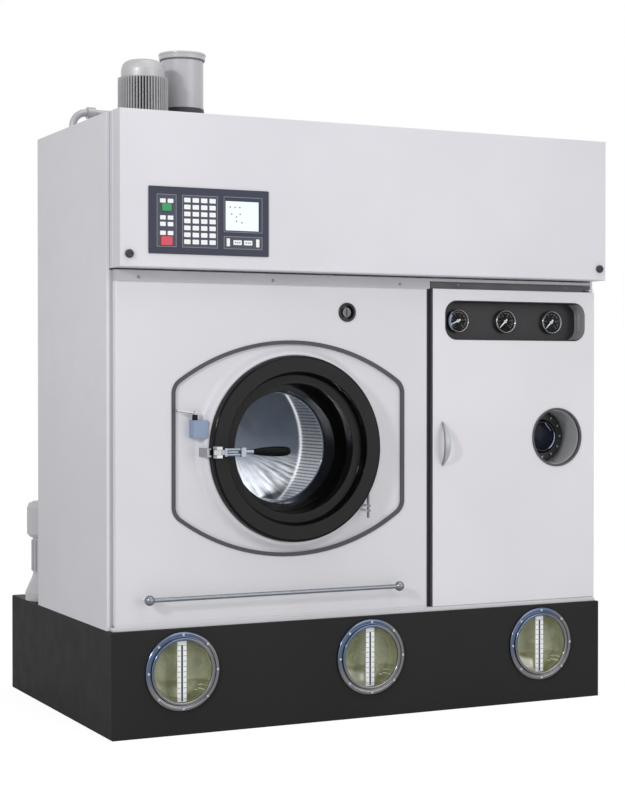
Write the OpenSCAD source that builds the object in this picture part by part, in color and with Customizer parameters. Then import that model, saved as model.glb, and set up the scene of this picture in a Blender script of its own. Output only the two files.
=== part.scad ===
// Dry cleaning machine: a painted steel cabinet on a black solvent tank base.
// Millimetres. X runs to the right, Y to the back, Z up.
// The origin is on the floor, under the centre of the base.

/* [Base tank] */
// Width of the base tank and of the cabinet
base_w = 1450; // [1440:1:1460]
// Depth of the base tank
base_d = 860; // [850:1:880]
// Height of the base tank
base_h = 268; // [266:1:268]
// Thickness of the tank's steel plate
tank_wall = 5; // [4:1:6]
// Outer radius of a sight glass flange
flange_r = 99.5; // [97:0.5:101]
// Clear radius of a sight glass
sight_r = 77.8; // [74:0.2:80]
// Height of the sight glasses above the floor
sight_z = 160.5; // [155:0.5:162]

/* [Cabinet] */
// Height of the cabinet's roof above the floor
roof_z = 1555; // [1553:1:1556]
// Depth of the cabinet
cabinet_d = 570; // [560:1:600]
// Distance of the cabinet's frame behind the front of the base
frame_setback = 34; // [33:1:36]
// Thickness of the sheet metal of the casing
sheet = 2; // [1.5:0.5:2.5]
// Side of the square tube of the frame
tube = 32; // [28:1:34]
// Radius of the top and bottom arcs of the trimmed opening
trim_arc_r = 535; // [500:5:600]
// Half of the height of the trimmed opening
trim_half_h = 274.5; // [272:0.5:276]
// Half of the width of the trimmed opening
trim_half_w = 327.5; // [324:0.5:330]
// Width of the rubber edge trim
trim_w = 10; // [8:1:12]

/* [Loading door] */
// Radius of the black door ring
door_r = 240; // [236:1:240]
// Radius of the ring's front bore
door_bore_r = 197; // [190:1:200]
// Radius of the door's inner sleeve
sleeve_r = 147; // [140:1:150]
// Radius of the hinge pin
hinge_pin_r = 3.5; // [3:0.5:4]

/* [Drum] */
// Inner radius of the drum
drum_r = 225; // [220:1:226]
// Radius of the drum's mouth
drum_mouth_r = 165; // [160:1:175]
// Columns of slots around the drum
slot_columns = 30; // [12:2:36]
// Rows of slots along the drum
slot_rows = 6; // [3:1:8]

/* [Header cover] */
// Height of the header cover's lower edge
header_z = 1169; // [1167:1:1172]
// Depth of the header cover in front of the frame
header_d = 75.5; // [72:0.5:78]
// Travel of the start and stop buttons
button_travel = 3; // [2:0.5:3.5]

/* [Roof] */
// Outer radius of the exhaust pipe
duct_r = 55.5; // [50:0.5:56]
// Height of the exhaust pipe's mouth above the floor
duct_top = 1742; // [1722:5:1802]
// Cooling fins on the fan motor
fan_fins = 52; // [24:2:56]

/* [Hidden] */
$fn = 64;

// Colours, as the photograph shows them
white_paint = [0.86, 0.86, 0.88];
side_paint = [0.80, 0.80, 0.82];
black_paint = [0.20, 0.20, 0.20];
gloss_black = [0.09, 0.09, 0.10];
rubber_grey = [0.29, 0.29, 0.31];
chrome = [0.75, 0.77, 0.80];
steel = [0.62, 0.63, 0.65];
cast_grey = [0.68, 0.69, 0.71];
olive = [0.46, 0.47, 0.33];
glass_tint = [0.80, 0.86, 0.90, 0.35];

// Gaps: between parts that stand clear, and on the radius of a running fit
gap = 0.4;
run_fit = 0.05;

// Planes along Y
base_front = -base_d / 2;
frame_front = base_front + frame_setback;
frame_face = frame_front + 2;
cabinet_back = frame_front + cabinet_d;
panel_front = frame_front - 21;
plate_front = frame_front - 17;
header_front = frame_front - header_d;

// Left and right bays
half_w = base_w / 2;
bay_left = -709;
bay_split = 176;
door_left = 193.5;
door_right = 718;
panel_bottom = 281;
panel_top = 1135;

// Loading door and drum axis
axis_x = -228.5;
axis_z = 714.5;
ring_front = frame_front - 66;
ring_back = frame_front - 34;
sleeve_back = frame_front + 94;
neck_r = 192;
tub_r = 250;
tub_front = frame_front + 96;
tub_back = 20;
drum_front = frame_front + 112;
drum_back = -3;
door_pin_x = -23;
door_pin_y = ring_front + 9;
collar_front = plate_front - 28;
gasket_outer_r = 203;

// Latch on the left of the ring
latch_x = -459;
latch_y = ring_front - 16;
latch_z = 710;
latch_pin_r = 4;
lever_bar_r = 3.8;
keeper_x0 = -488;
keeper_x1 = -476;

// Fittings on the front plate: the interlock switch and the lugs of the door's pin
interlock_x0 = -512;
interlock_x1 = -473;
interlock_z0 = 746;
interlock_z1 = 790;
stem_x = -503;
stem_y = plate_front - 17;
lug_z = [546, 559];
lug_half = 5;
lug_t = 5;

// Drive at the back of the drum
shaft_r = 20;
drum_pulley_r = 120;
motor_pulley_r = 35;
pulley_y = 112;
belt_w = 22;
belt_t = 6;
motor_x = -90;
motor_z = 390;

// Sight glasses in the base, one for each of the three tanks
sight_x = [-538, -4, 527];
glass_seat_r = 86;

// Door on the right bay
service_pin_x = 708;
service_pin_y = -409;
service_pin_r = 4;
window_x = 457.5;
window_z = 1053.5;
window_w = 453;
window_h = 107;
window_corner = 36;
gauge_x = [293, 445, 597];
gauge_z = 1053;
gauge_r = 32;
zero_turn = 45;
dial_y = frame_front + 18;
porthole_x = 591.4;
porthole_z = 731.8;
porthole_r = 78.5;

// Roof pieces
fan_x = -596;
fan_y = -310;
duct_x = -461;
duct_y = -240;

// Control panel on the header cover
fascia_x = -481;
fascia_z = 1286;
fascia_w = 324;
fascia_h = 166;
fascia_t = 3;
header_hinge_x = [-500, 500];
header_pin_z = roof_z + 6;
header_pin_r = 2.5;
fascia_front = header_front - fascia_t;
button_x = -596;
start_z = 1317.5;
stop_z = 1234.5;

// ---------------------------------------------------------------- helpers

// A box between two corners
module box(x0, x1, y0, y1, z0, z1) {
    translate([x0, y0, z0]) cube([x1 - x0, y1 - y0, z1 - z0]);
}

// A cylinder along Y
module rod_y(r, x, z, y0, y1) {
    translate([x, y0, z]) rotate([-90, 0, 0]) cylinder(r = r, h = y1 - y0);
}

// A tube along Y
module tube_y(r_out, r_in, x, z, y0, y1) {
    difference() {
        rod_y(r_out, x, z, y0, y1);
        rod_y(r_in, x, z, y0 - 1, y1 + 1);
    }
}

// A cylinder along X
module rod_x(r, x0, x1, y, z) {
    translate([x0, y, z]) rotate([0, 90, 0]) cylinder(r = r, h = x1 - x0);
}

// A cylinder along Z
module rod_z(r, x, y, z0, z1) {
    translate([x, y, z0]) cylinder(r = r, h = z1 - z0);
}

// Turns a profile of [radius, y] points about an axis along Y
module turned_y(x, z, profile) {
    translate([x, 0, z]) rotate([-90, 0, 0]) rotate_extrude($fn = 96) polygon(profile);
}

// Turns a profile of [radius, z] points about an axis along Z
module turned_z(x, y, profile) {
    translate([x, y, 0]) rotate_extrude($fn = 64) polygon(profile);
}

// Extrudes a flat shape drawn in X and Z between two planes along Y
module plate_y(y0, y1) {
    translate([0, y1, 0]) rotate([90, 0, 0]) linear_extrude(height = y1 - y0) children();
}

// A rectangle with round corners, centred
module round_rect(w, h, r) {
    square([w - 2 * r, h], center = true);
    square([w, h - 2 * r], center = true);
    for (sx = [-1, 1], sy = [-1, 1])
        translate([sx * (w / 2 - r), sy * (h / 2 - r)]) circle(r = r, $fn = 48);
}

// Points along an arc
function arc(x, z, r, from, to, n) = [for (i = [0:n]) let (a = from + i * (to - from) / n) [x + r * cos(a), z + r * sin(a)]];

// The outline of the trimmed opening round the loading door, grown by g:
// two long arcs and two straight sides that meet in rounded corners
module trim_outline(g) {
    corner_r = 40;
    arc_drop = trim_arc_r - trim_half_h;
    x = trim_half_w - corner_r;
    reach = trim_arc_r - corner_r;
    z = sqrt(reach * reach - x * x) - arc_drop;
    turn = asin(x / reach);
    long_r = trim_arc_r + g;
    r = corner_r + g;
    step = 2 * turn / 40;
    translate([axis_x, axis_z]) polygon(concat(
        arc(0, -arc_drop, long_r, 90 - turn + step, 90 + turn - step, 38),
        arc(-x, z, r, 90 + turn, 180, 9), arc(-x, -z, r, 180, 270 - turn, 9),
        arc(0, arc_drop, long_r, 270 - turn + step, 270 + turn - step, 38),
        arc(x, -z, r, 270 + turn, 360, 9), arc(x, z, r, 0, 90 - turn, 9)
    ));
}

// ---------------------------------------------------------------- base

module tank_room(x0, x1) {
    box(x0, x1, base_front + tank_wall, -base_front - tank_wall, tank_wall, base_h - tank_wall);
}

module base_tank() {
    split_left = -270;
    split_right = 262;
    color(black_paint) difference() {
        box(-half_w, half_w, base_front, -base_front, 0, base_h);
        tank_room(-half_w + tank_wall, split_left - tank_wall / 2);
        tank_room(split_left + tank_wall / 2, split_right - tank_wall / 2);
        tank_room(split_right + tank_wall / 2, half_w - tank_wall);
        for (x = sight_x) rod_y(82, x, sight_z, base_front - 1, base_front + tank_wall + 1);
    }
}

// Olive cup behind each glass: the inside of the tank, with its solvent
module sight_wells() {
    well_depth = 45;
    for (x = sight_x) color(olive) difference() {
        rod_y(81.8, x, sight_z, base_front, base_front + well_depth);
        rod_y(79.5, x, sight_z, base_front - 1, base_front + well_depth - 2);
    }
}

module sight_flanges() {
    for (x = sight_x) color(chrome) turned_y(x, sight_z, [
        [glass_seat_r, base_front], [flange_r, base_front], [flange_r, base_front - 6],
        [flange_r - 2, base_front - 8], [84, base_front - 8], [82, base_front - 11],
        [sight_r + 1, base_front - 11], [sight_r, base_front - 10],
        [sight_r, base_front - 4], [glass_seat_r, base_front - 4]
    ]);
}

// Three glasses in the base and the one of the still
module sight_glasses() {
    color(glass_tint) {
        for (x = sight_x) rod_y(glass_seat_r, x, sight_z, base_front - 4, base_front);
        rod_y(50, porthole_x, porthole_z, frame_front + 60, frame_front + 66);
    }
}

module level_scales() {
    for (x = sight_x) color("white") difference() {
        intersection() {
            box(x - 14.5, x + 14.5, base_front + 1, base_front + 3, 0, base_h);
            rod_y(79.5, x, sight_z, base_front, base_front + 5);
        }
        box(x - 2.5, x + 2.5, base_front, base_front + 4, sight_z - 70, sight_z + 66);
    }
}

// Eight bolts on each flange, and the screws of the front rails
module flange_bolts() {
    color(chrome) {
        for (x = sight_x, a = [0:45:315])
            rod_y(4, x + 93 * cos(a), sight_z + 93 * sin(a), base_front - 11.5, base_front - 8);
        for (a = [22.5:45:360])
            rod_y(4.5, porthole_x + 58.5 * cos(a), porthole_z + 58.5 * sin(a),
                frame_front + 50, frame_front + 54);
        for (x = [-648, -281, 92]) rod_y(4, x, 1147, panel_front - 2, panel_front);
        for (x = [283, 632]) rod_y(4, x, 1150, frame_front - 2, frame_front);
    }
}

// ---------------------------------------------------------------- casing

module cabinet_frame() {
    side = half_w - sheet;
    back = cabinet_back - sheet;
    top = roof_z - sheet;
    color(rubber_grey) {
        // Posts
        for (y0 = [frame_face, back - tube]) {
            box(-side, -side + tube, y0, y0 + tube, base_h, top);
            box(side - tube, side, y0, y0 + tube, base_h, top);
        }
        box(bay_split - 8, bay_split + 24, frame_face, frame_face + tube, base_h, 1130);
        box(bay_split - 8, bay_split + 24, back - tube, back, base_h, top);
        // Rails across the front and the back
        for (z0 = [base_h, 1125, top - tube]) box(-side, side, frame_face, frame_face + tube, z0, z0 + tube);
        for (z0 = [base_h, top - tube]) box(-side, side, back - tube, back, z0, z0 + tube);
        // Rails along the sides
        for (z0 = [base_h, 1125, top - tube], x0 = [-side, side - tube])
            box(x0, x0 + tube, frame_face, back, z0, z0 + tube);
    }
}

// A flat side with a folded lip along its front edge
module side_panel() {
    lip = 8;
    box(-half_w, -half_w + sheet, frame_front, cabinet_back, base_h, roof_z);
    box(-half_w, -half_w + lip, frame_front, frame_front + sheet, base_h, roof_z - sheet);
}

module side_panels() {
    color(side_paint) {
        side_panel();
        mirror([1, 0, 0]) side_panel();
    }
}

module rear_panel() {
    louvre_pitch = 22;
    color(side_paint) difference() {
        box(-half_w + sheet, half_w - sheet, cabinet_back - sheet, cabinet_back, base_h, roof_z);
        for (x = [-420, 430], i = [0:11])
            box(x - 130, x + 130, cabinet_back - sheet - 1, cabinet_back + 1,
                1150 + i * louvre_pitch, 1158 + i * louvre_pitch);
    }
    color(side_paint) for (x = [-420, 430], i = [0:11])
        translate([x - 134, cabinet_back, 1158 + i * louvre_pitch])
            rotate([90, 0, 90]) linear_extrude(height = 268) polygon([[0, 2], [9, -6], [7, -8], [0, -1]]);
}

module roof_panel() {
    color(side_paint) difference() {
        box(-half_w + sheet, half_w - sheet, frame_front, cabinet_back - sheet, roof_z - sheet, roof_z);
        rod_z(12, fan_x, fan_y, roof_z - 3, roof_z + 1);
        rod_z(duct_r - 4, duct_x, duct_y, roof_z - 3, roof_z + 1);
    }
    // Spun collar that holds the exhaust pipe
    color(side_paint) turned_z(duct_x, duct_y, [
        [duct_r + 11, roof_z], [duct_r + 30, roof_z], [duct_r + 30, roof_z + 2], [duct_r + 16, roof_z + 4],
        [duct_r + 14, roof_z + 24], [duct_r + 11, roof_z + 24]
    ]);
}

module front_panel() {
    color(white_paint) difference() {
        box(bay_left, bay_split, panel_front, frame_front, panel_bottom, panel_top);
        difference() {
            box(bay_left + sheet, bay_split - sheet, panel_front + sheet, frame_front + 1,
                panel_bottom + sheet, panel_top - sheet);
            plate_y(panel_front, frame_front) trim_outline(trim_w / 2 + 8);
        }
        plate_y(panel_front - 1, frame_front + 2) trim_outline(trim_w / 2);
        rod_y(21, -67, 1069, panel_front - 1, frame_front + 1);
    }
}

module edge_trim() {
    color(rubber_grey) plate_y(panel_front - 2.5, frame_front) difference() {
        trim_outline(trim_w / 2);
        trim_outline(-trim_w / 2);
    }
}

// The pale rail under the header, and the sill under the panels
module front_rails() {
    rail_top = header_z - 4;
    color(white_paint) {
        box(bay_left, 705, panel_front, frame_face, rail_top - 8, rail_top);
        box(bay_left, bay_split + 8, panel_front, frame_face, panel_top + 2, rail_top);
        box(bay_left, half_w - 8, panel_front - 4, frame_face, base_h, base_h + 9);
    }
    color(rubber_grey) box(door_left + 4, 699, frame_front, frame_face, 1139, rail_top - 8);
}

// The white front of the drum housing. A spun collar flares up to the back of the door ring,
// and is cut out round the fittings that stand on the plate
module tub_front_plate() {
    color(white_paint) {
        difference() {
            plate_y(plate_front, plate_front + 4) trim_outline(-trim_w / 2);
            rod_y(neck_r, axis_x, axis_z, plate_front - 1, plate_front + 5);
        }
        difference() {
            turned_y(axis_x, axis_z, [
                [door_r + 0.4, plate_front], [door_r + 0.4, collar_front + 1], [door_r + 1.4, collar_front],
                [door_r + 4, collar_front], [door_r + 7, collar_front + 1.5], [door_r + 10, collar_front + 5],
                [door_r + 13, collar_front + 10.5], [door_r + 16, collar_front + 17], [door_r + 20, collar_front + 22.5],
                [door_r + 24, collar_front + 26], [door_r + 29, plate_front]
            ]);
            box(interlock_x0, interlock_x1, collar_front - 5, plate_front, interlock_z0, interlock_z1);
            box(keeper_x0, keeper_x1, collar_front - 5, plate_front, latch_z - 12, latch_z + 10);
            for (z = lug_z) box(door_pin_x - lug_half, door_pin_x + lug_half, collar_front - 5, plate_front, z, z + lug_t);
        }
    }
}

module outer_tub() {
    wall = 3;
    color(steel) {
        turned_y(axis_x, axis_z, [
            [neck_r, plate_front + 4], [neck_r + wall, plate_front + 4], [neck_r + wall, tub_front],
            [tub_r, tub_front], [tub_r, tub_back], [55, tub_back], [55, tub_back - wall],
            [tub_r - wall, tub_back - wall], [tub_r - wall, tub_front + wall], [neck_r, tub_front + wall]
        ]);
        // Feet that carry the tub on the base
        for (x = [axis_x - 170, axis_x + 150]) difference() {
            box(x, x + 20, -280, -130, base_h, 560);
            rod_y(tub_r - 1, axis_x, axis_z, -290, -120);
        }
    }
}

// Back bearing of the drum, bolted to the tub
module bearing_housing() {
    color(cast_grey) difference() {
        union() {
            rod_y(75, axis_x, axis_z, tub_back, tub_back + 14);
            rod_y(42, axis_x, axis_z, tub_back + 14, pulley_y - 16);
            for (a = [0:60:300]) translate([axis_x, 0, axis_z]) rotate([0, a, 0])
                box(38, 68, tub_back + 12, tub_back + 50, -5, 5);
        }
        rod_y(shaft_r + run_fit, axis_x, axis_z, tub_back - 1, pulley_y);
    }
}

// ---------------------------------------------------------------- drive

module drive_motor() {
    color(cast_grey) {
        difference() {
            union() {
                rod_y(62, motor_x, motor_z, -80, 70);
                rod_y(68, motor_x, motor_z, 64, 76);
                rod_y(58, motor_x, motor_z, -100, -78);
                for (a = [0:15:345]) translate([motor_x, 0, motor_z]) rotate([0, a, 0])
                    box(60, 68, -74, 60, -1.5, 1.5);
            }
            rod_y(12 + run_fit, motor_x, motor_z, 20, 80);
        }
        for (x = [motor_x - 62, motor_x + 42]) difference() {
            box(x, x + 20, -70, 50, base_h, motor_z - 30);
            rod_y(61, motor_x, motor_z, -80, 60);
        }
    }
}

// The belt runs in an open loop round both pulleys
module drive_belt() {
    dx = motor_x - axis_x;
    dz = motor_z - axis_z;
    y0 = pulley_y - belt_w / 2;
    color(gloss_black) plate_y(y0, y0 + belt_w) translate([axis_x, axis_z]) rotate(atan2(dz, dx)) difference() {
        polygon(belt_points(gap + belt_t, sqrt(dx * dx + dz * dz)));
        polygon(belt_points(gap, sqrt(dx * dx + dz * dz)));
    }
}

// Points of the loop at a distance g outside both pulleys
function belt_points(g, span) =
    let (up = acos((drum_pulley_r - motor_pulley_r) / span))
    concat(
        [for (i = [0:60]) let (a = up + i * (360 - 2 * up) / 60)
            [(drum_pulley_r + g) * cos(a), (drum_pulley_r + g) * sin(a)]],
        [for (i = [0:24]) let (a = -up + i * 2 * up / 24)
            [span + (motor_pulley_r + g) * cos(a), (motor_pulley_r + g) * sin(a)]]
    );

// A pulley with a grooved rim, a web with round openings and a hub
module pulley(r, hub_r, x, z, holes) {
    half = belt_w / 2;
    difference() {
        turned_y(x, z, [
            [0, pulley_y - 14], [hub_r, pulley_y - 14], [hub_r, pulley_y - 4],
            [r - 12, pulley_y - 4], [r - 12, pulley_y - half - 3], [r + 4, pulley_y - half - 3],
            [r + 4, pulley_y - half - 0.5], [r, pulley_y - half - 0.5], [r, pulley_y + half + 0.5],
            [r + 4, pulley_y + half + 0.5], [r + 4, pulley_y + half + 3],
            [r - 12, pulley_y + half + 3], [r - 12, pulley_y + 4], [hub_r, pulley_y + 4],
            [hub_r, pulley_y + 14], [0, pulley_y + 14]
        ]);
        if (holes > 0) for (i = [0:holes - 1])
            rod_y(16, x + 72 * cos(i * 360 / holes), z + 72 * sin(i * 360 / holes), pulley_y - 8, pulley_y + 8);
    }
}

module drum_shaft() {
    color(steel) {
        rod_y(shaft_r, axis_x, axis_z, drum_back + 6, pulley_y);
        pulley(drum_pulley_r, 34, axis_x, axis_z, 5);
    }
}

module motor_pulley() {
    color(steel) {
        rod_y(12, motor_x, motor_z, 22, pulley_y);
        pulley(motor_pulley_r, 20, motor_x, motor_z, 0);
    }
}

// ---------------------------------------------------------------- drum

module drum_shell() {
    wall = 2;
    slot_l = 26;
    slot_w = 4;
    row_pitch = (drum_back - drum_front - 72) / (slot_rows - 1);
    color(steel) difference() {
        tube_y(drum_r + wall, drum_r, axis_x, axis_z, drum_front, drum_back);
        for (j = [0:slot_rows - 1]) {
            y = drum_front + 36 + j * row_pitch;
            plate_y(y - slot_l / 2, y + slot_l / 2) translate([axis_x, axis_z])
                for (i = [0:slot_columns - 1]) rotate((i + 0.5) * 360 / slot_columns)
                    translate([drum_r - 3, -slot_w / 2]) square([wall + 6, slot_w]);
        }
    }
}

// Front and back plates of the drum, with three lifting ribs between them
module drum_ends() {
    rib_h = 42;
    color(steel) {
        turned_y(axis_x, axis_z, [
            [drum_mouth_r, drum_front - 5], [drum_mouth_r + 5, drum_front - 5],
            [drum_mouth_r + 7, drum_front - 2], [drum_r + 2, drum_front - 2],
            [drum_r + 2, drum_front], [drum_r, drum_front],
            [drum_mouth_r + 3, drum_front], [drum_mouth_r, drum_front - 2]
        ]);
        turned_y(axis_x, axis_z, [
            [0, drum_back - 12], [60, drum_back - 12], [90, drum_back - 3],
            [drum_r, drum_back - 3], [drum_r, drum_back], [drum_r + 2, drum_back],
            [drum_r + 2, drum_back + 3], [80, drum_back + 3], [60, drum_back + 6], [0, drum_back + 6]
        ]);
        for (a = [60, 180, 300]) translate([axis_x, drum_back - 3, axis_z]) rotate([90, a, 0])
            linear_extrude(height = drum_back - 3 - drum_front) polygon([
                [drum_r - rib_h, -7], [drum_r - rib_h + 6, -13], [drum_r - 2, -26],
                [drum_r - 2, 26], [drum_r - rib_h + 6, 13], [drum_r - rib_h, 7]
            ]);
    }
}

// ---------------------------------------------------------------- loading door

// Stepped black ring; its rim is bored for the hinge pin
module door_ring() {
    step_y = frame_front - 41;
    clamp_y = frame_front + 23;
    color(gloss_black) difference() {
        turned_y(axis_x, axis_z, [
            [door_r - 14, ring_back], [door_r - 14, ring_front + 18], [door_r - 1, ring_front + 18],
            [door_r, ring_front + 17], [door_r, ring_front + 7], [door_r - 2, ring_front + 2.5],
            [door_r - 7, ring_front], [door_bore_r + 2, ring_front], [door_bore_r, ring_front + 1.5],
            [door_bore_r - 5, step_y - 2], [door_bore_r - 8, step_y], [169, step_y],
            [168, step_y + 1], [166, clamp_y - 1], [165, clamp_y], [sleeve_r + 1, clamp_y],
            [sleeve_r, clamp_y + 1], [sleeve_r, sleeve_back - 6], [sleeve_r + 4, sleeve_back - 6],
            [sleeve_r + 4, clamp_y + 6], [175, clamp_y + 6], [178, clamp_y], [178, ring_back]
        ]);
        rod_z(hinge_pin_r + run_fit, door_pin_x, door_pin_y, axis_z - 130, axis_z + 92);
    }
}

module door_gasket() {
    color(rubber_grey) turned_y(axis_x, axis_z, [
        [neck_r + 2, ring_back], [gasket_outer_r, ring_back], [gasket_outer_r - 1, plate_front - gap - 2],
        [gasket_outer_r - 3, plate_front - gap], [neck_r + 4, plate_front - gap], [neck_r + 2, plate_front - gap - 3]
    ]);
}

module door_glass() {
    color(glass_tint) turned_y(axis_x, axis_z, [
        [0, sleeve_back + 4], [60, sleeve_back + 2.5], [110, sleeve_back - 1.5],
        [140, sleeve_back - 6], [sleeve_r + 4, sleeve_back - 6], [sleeve_r + 4, sleeve_back - 1],
        [141, sleeve_back - 1], [110, sleeve_back + 3.5], [60, sleeve_back + 7.5], [0, sleeve_back + 9]
    ]);
}

// Fork that holds the lever's pin, on the front of the ring
module latch_block() {
    fork_h = 29;
    color(cast_grey) {
        box(latch_x - 7.5, latch_x + 7.5, ring_front - 3, ring_front, latch_z - fork_h / 2, latch_z + fork_h / 2);
        for (z0 = [latch_z - fork_h / 2, latch_z + 6.5])
            box(latch_x - 7.5, latch_x + 7.5, ring_front - 25, ring_front - 3, z0, z0 + 8);
        rod_z(latch_pin_r, latch_x, latch_y, latch_z - fork_h / 2, latch_z + fork_h / 2);
    }
}

// Hub with a nose that bears on the keeper, and twin bars that carry the grip
module latch_lever() {
    color(chrome) difference() {
        union() {
            rod_z(9, latch_x, latch_y, latch_z - 6.1, latch_z + 6.1);
            box(latch_x - 12.4, latch_x, latch_y - 4, latch_y + 4, latch_z - 6.1, latch_z + 6.1);
            box(latch_x, latch_x + 18, latch_y - 4, latch_y + 4, latch_z - 6.1, latch_z + 6.1);
            box(latch_x + 16, latch_x + 22, latch_y - 5, latch_y + 5, latch_z - 10.5, latch_z + 10.5);
            for (s = [-1, 1]) rod_x(lever_bar_r, latch_x + 21, latch_x + 62, latch_y, latch_z + s * 6.6);
            box(latch_x + 60, latch_x + 73, latch_y - 7, latch_y + 7, latch_z - 11.5, latch_z + 11.5);
            rod_x(6.5, latch_x + 72, latch_x + 94, latch_y, latch_z);
        }
        rod_z(latch_pin_r + run_fit, latch_x, latch_y, latch_z - 10, latch_z + 10);
    }
}

module latch_grip() {
    color(gloss_black) translate([latch_x + 94, latch_y, latch_z]) rotate([0, 90, 0])
        rotate_extrude($fn = 48) polygon([
            [0, 0], [5.5, 0], [7, 4], [9, 14], [11.4, 32], [12.8, 54], [13, 70],
            [12.4, 84], [11, 95], [8.6, 101], [5, 104], [0, 105]
        ]);
}

// Fixed block on the front plate that the lever's nose bears on
module latch_keeper() {
    color(steel) difference() {
        box(keeper_x0, keeper_x1, latch_y + 6, plate_front, latch_z - 12, latch_z + 10);
        box(keeper_x1 - 6, keeper_x1 + 1, latch_y + 5, latch_y + 14, latch_z - 7, latch_z + 7);
    }
}

module interlock_switch() {
    color([0.54, 0.65, 0.78])
        box(interlock_x0, interlock_x1, plate_front - 31, plate_front, interlock_z0, interlock_z1);
    color(gloss_black) rod_z(7, stem_x, stem_y, interlock_z1, 804);
    color(gloss_black) rod_z(2, stem_x, stem_y, 804, 813);
}

module interlock_arm() {
    color("white") difference() {
        union() {
            rod_z(5, stem_x, stem_y, 804 + gap, 812);
            translate([stem_x, stem_y, 808]) rotate([0, -82, 0]) cylinder(r = 3, h = 50);
        }
        rod_z(2 + run_fit, stem_x, stem_y, 803, 814);
    }
}

// Rod of the loading door with its two lugs, and the pivots of the service door
module hinge_pins() {
    color(steel) {
        rod_z(hinge_pin_r, door_pin_x, door_pin_y, 530, axis_z + 90);
        for (z = lug_z) box(door_pin_x - lug_half, door_pin_x + lug_half, door_pin_y - 5, plate_front, z, z + lug_t);
        box(service_pin_x - 8, service_pin_x + 7, service_pin_y - 6, frame_face, 1142, 1145);
        rod_z(service_pin_r, service_pin_x, service_pin_y, 1128, 1143);
        rod_z(service_pin_r, service_pin_x, service_pin_y, 277, 289);
        // Leaves on the roof with the pins of the header cover
        for (x = header_hinge_x) {
            box(x - 45, x + 45, frame_front + 4, frame_front + 40, roof_z, roof_z + 2);
            for (s = [-30, 30]) {
                rod_x(4.6, x + s - 15, x + s + 15, frame_front, header_pin_z);
                box(x + s - 15, x + s + 15, frame_front + 1, frame_front + 5, roof_z, header_pin_z - 1);
            }
            rod_x(header_pin_r, x - 45, x + 45, frame_front, header_pin_z);
        }
    }
}

// ---------------------------------------------------------------- front fittings

// Chrome bar between two ball ends on short stems
module hand_rail() {
    rail_y = panel_front - 33;
    rail_z = 345;
    ends = [-632, 73];
    color(chrome) {
        rod_x(6.5, ends[0], ends[1], rail_y, rail_z);
        for (x = ends) {
            translate([x, rail_y, rail_z]) sphere(r = 12, $fn = 48);
            rod_y(7, x, rail_z, rail_y, panel_front);
            rod_y(14, x, rail_z, panel_front - 3, panel_front);
        }
    }
}

module port_bezel() {
    color(steel) turned_y(-67, 1069, [
        [21, panel_front + 14], [21, panel_front], [25, panel_front], [25, panel_front - 2.5],
        [23, panel_front - 4], [19, panel_front - 3], [18, panel_front + 10],
        [10 + run_fit, panel_front + 10], [10 + run_fit, panel_front + 14]
    ]);
}

module port_lock() {
    color(chrome) difference() {
        union() {
            rod_y(12, -67, 1069, panel_front + 1, panel_front + 10 - gap);
            rod_y(10, -67, 1069, panel_front + 1, panel_front + 22);
        }
        box(-68.5, -65.5, panel_front, panel_front + 5, 1060, 1078);
    }
}

// ---------------------------------------------------------------- roof

module fan_motor() {
    fin_top = 1658;
    cowl_r = 53;
    color(cast_grey) difference() {
        union() {
            rod_z(51, fan_x, fan_y, roof_z, fin_top);
            for (i = [0:fan_fins - 1]) translate([fan_x, fan_y, 0]) rotate([0, 0, i * 360 / fan_fins])
                box(50, 61, -1, 1, roof_z + 4, fin_top);
            rod_z(62, fan_x, fan_y, roof_z, roof_z + 5);
            // Domed cowl over the motor's own cooling fan
            turned_z(fan_x, fan_y, [
                [0, fin_top], [cowl_r, fin_top], [cowl_r, fin_top + 15], [cowl_r - 1, fin_top + 22],
                [cowl_r - 4, fin_top + 29], [cowl_r - 9, fin_top + 35.5], [cowl_r - 16, fin_top + 40.5],
                [cowl_r - 25, fin_top + 44], [cowl_r - 36, fin_top + 45.6], [0, fin_top + 46]
            ]);
        }
        rod_z(8 + run_fit, fan_x, fan_y, roof_z - 1, roof_z + 60);
    }
}

// Sheet housing of the drying fan under the roof, open to the duct and at its eye
module fan_housing() {
    top = roof_z - sheet;
    color(steel) difference() {
        box(fan_x - 60, duct_x + 70, fan_y - 51, duct_y + 70, top - 88, top);
        box(fan_x - 58, duct_x + 68, fan_y - 49, duct_y + 68, top - 86, top - 2);
        rod_z(30, fan_x, fan_y, top - 90, top - 80);
        rod_z(12, fan_x, fan_y, top - 4, top + 1);
        rod_z(duct_r - 4, duct_x, duct_y, top - 4, top + 1);
    }
}

// Backplate with backward curved blades on the fan motor's shaft
module fan_impeller() {
    top = roof_z - sheet;
    wheel_top = top - 16;
    wheel_h = 46;
    blade_outer_r = 46;
    color(steel) {
        rod_z(8, fan_x, fan_y, wheel_top - wheel_h + 10, roof_z + 58);
        rod_z(15, fan_x, fan_y, wheel_top - wheel_h + 12, wheel_top);
        rod_z(blade_outer_r, fan_x, fan_y, wheel_top - 3, wheel_top);
        for (i = [0:11]) translate([fan_x, fan_y, wheel_top - wheel_h]) rotate([0, 0, i * 30])
            translate([blade_outer_r - 20, 6, 0]) rotate([0, 0, -36])
                translate([0, -1, 0]) cube([18, 2, wheel_h - 2]);
        translate([0, 0, wheel_top - wheel_h]) difference() {
            rod_z(blade_outer_r, fan_x, fan_y, 0, 2);
            rod_z(28, fan_x, fan_y, -1, 3);
        }
    }
}

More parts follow.
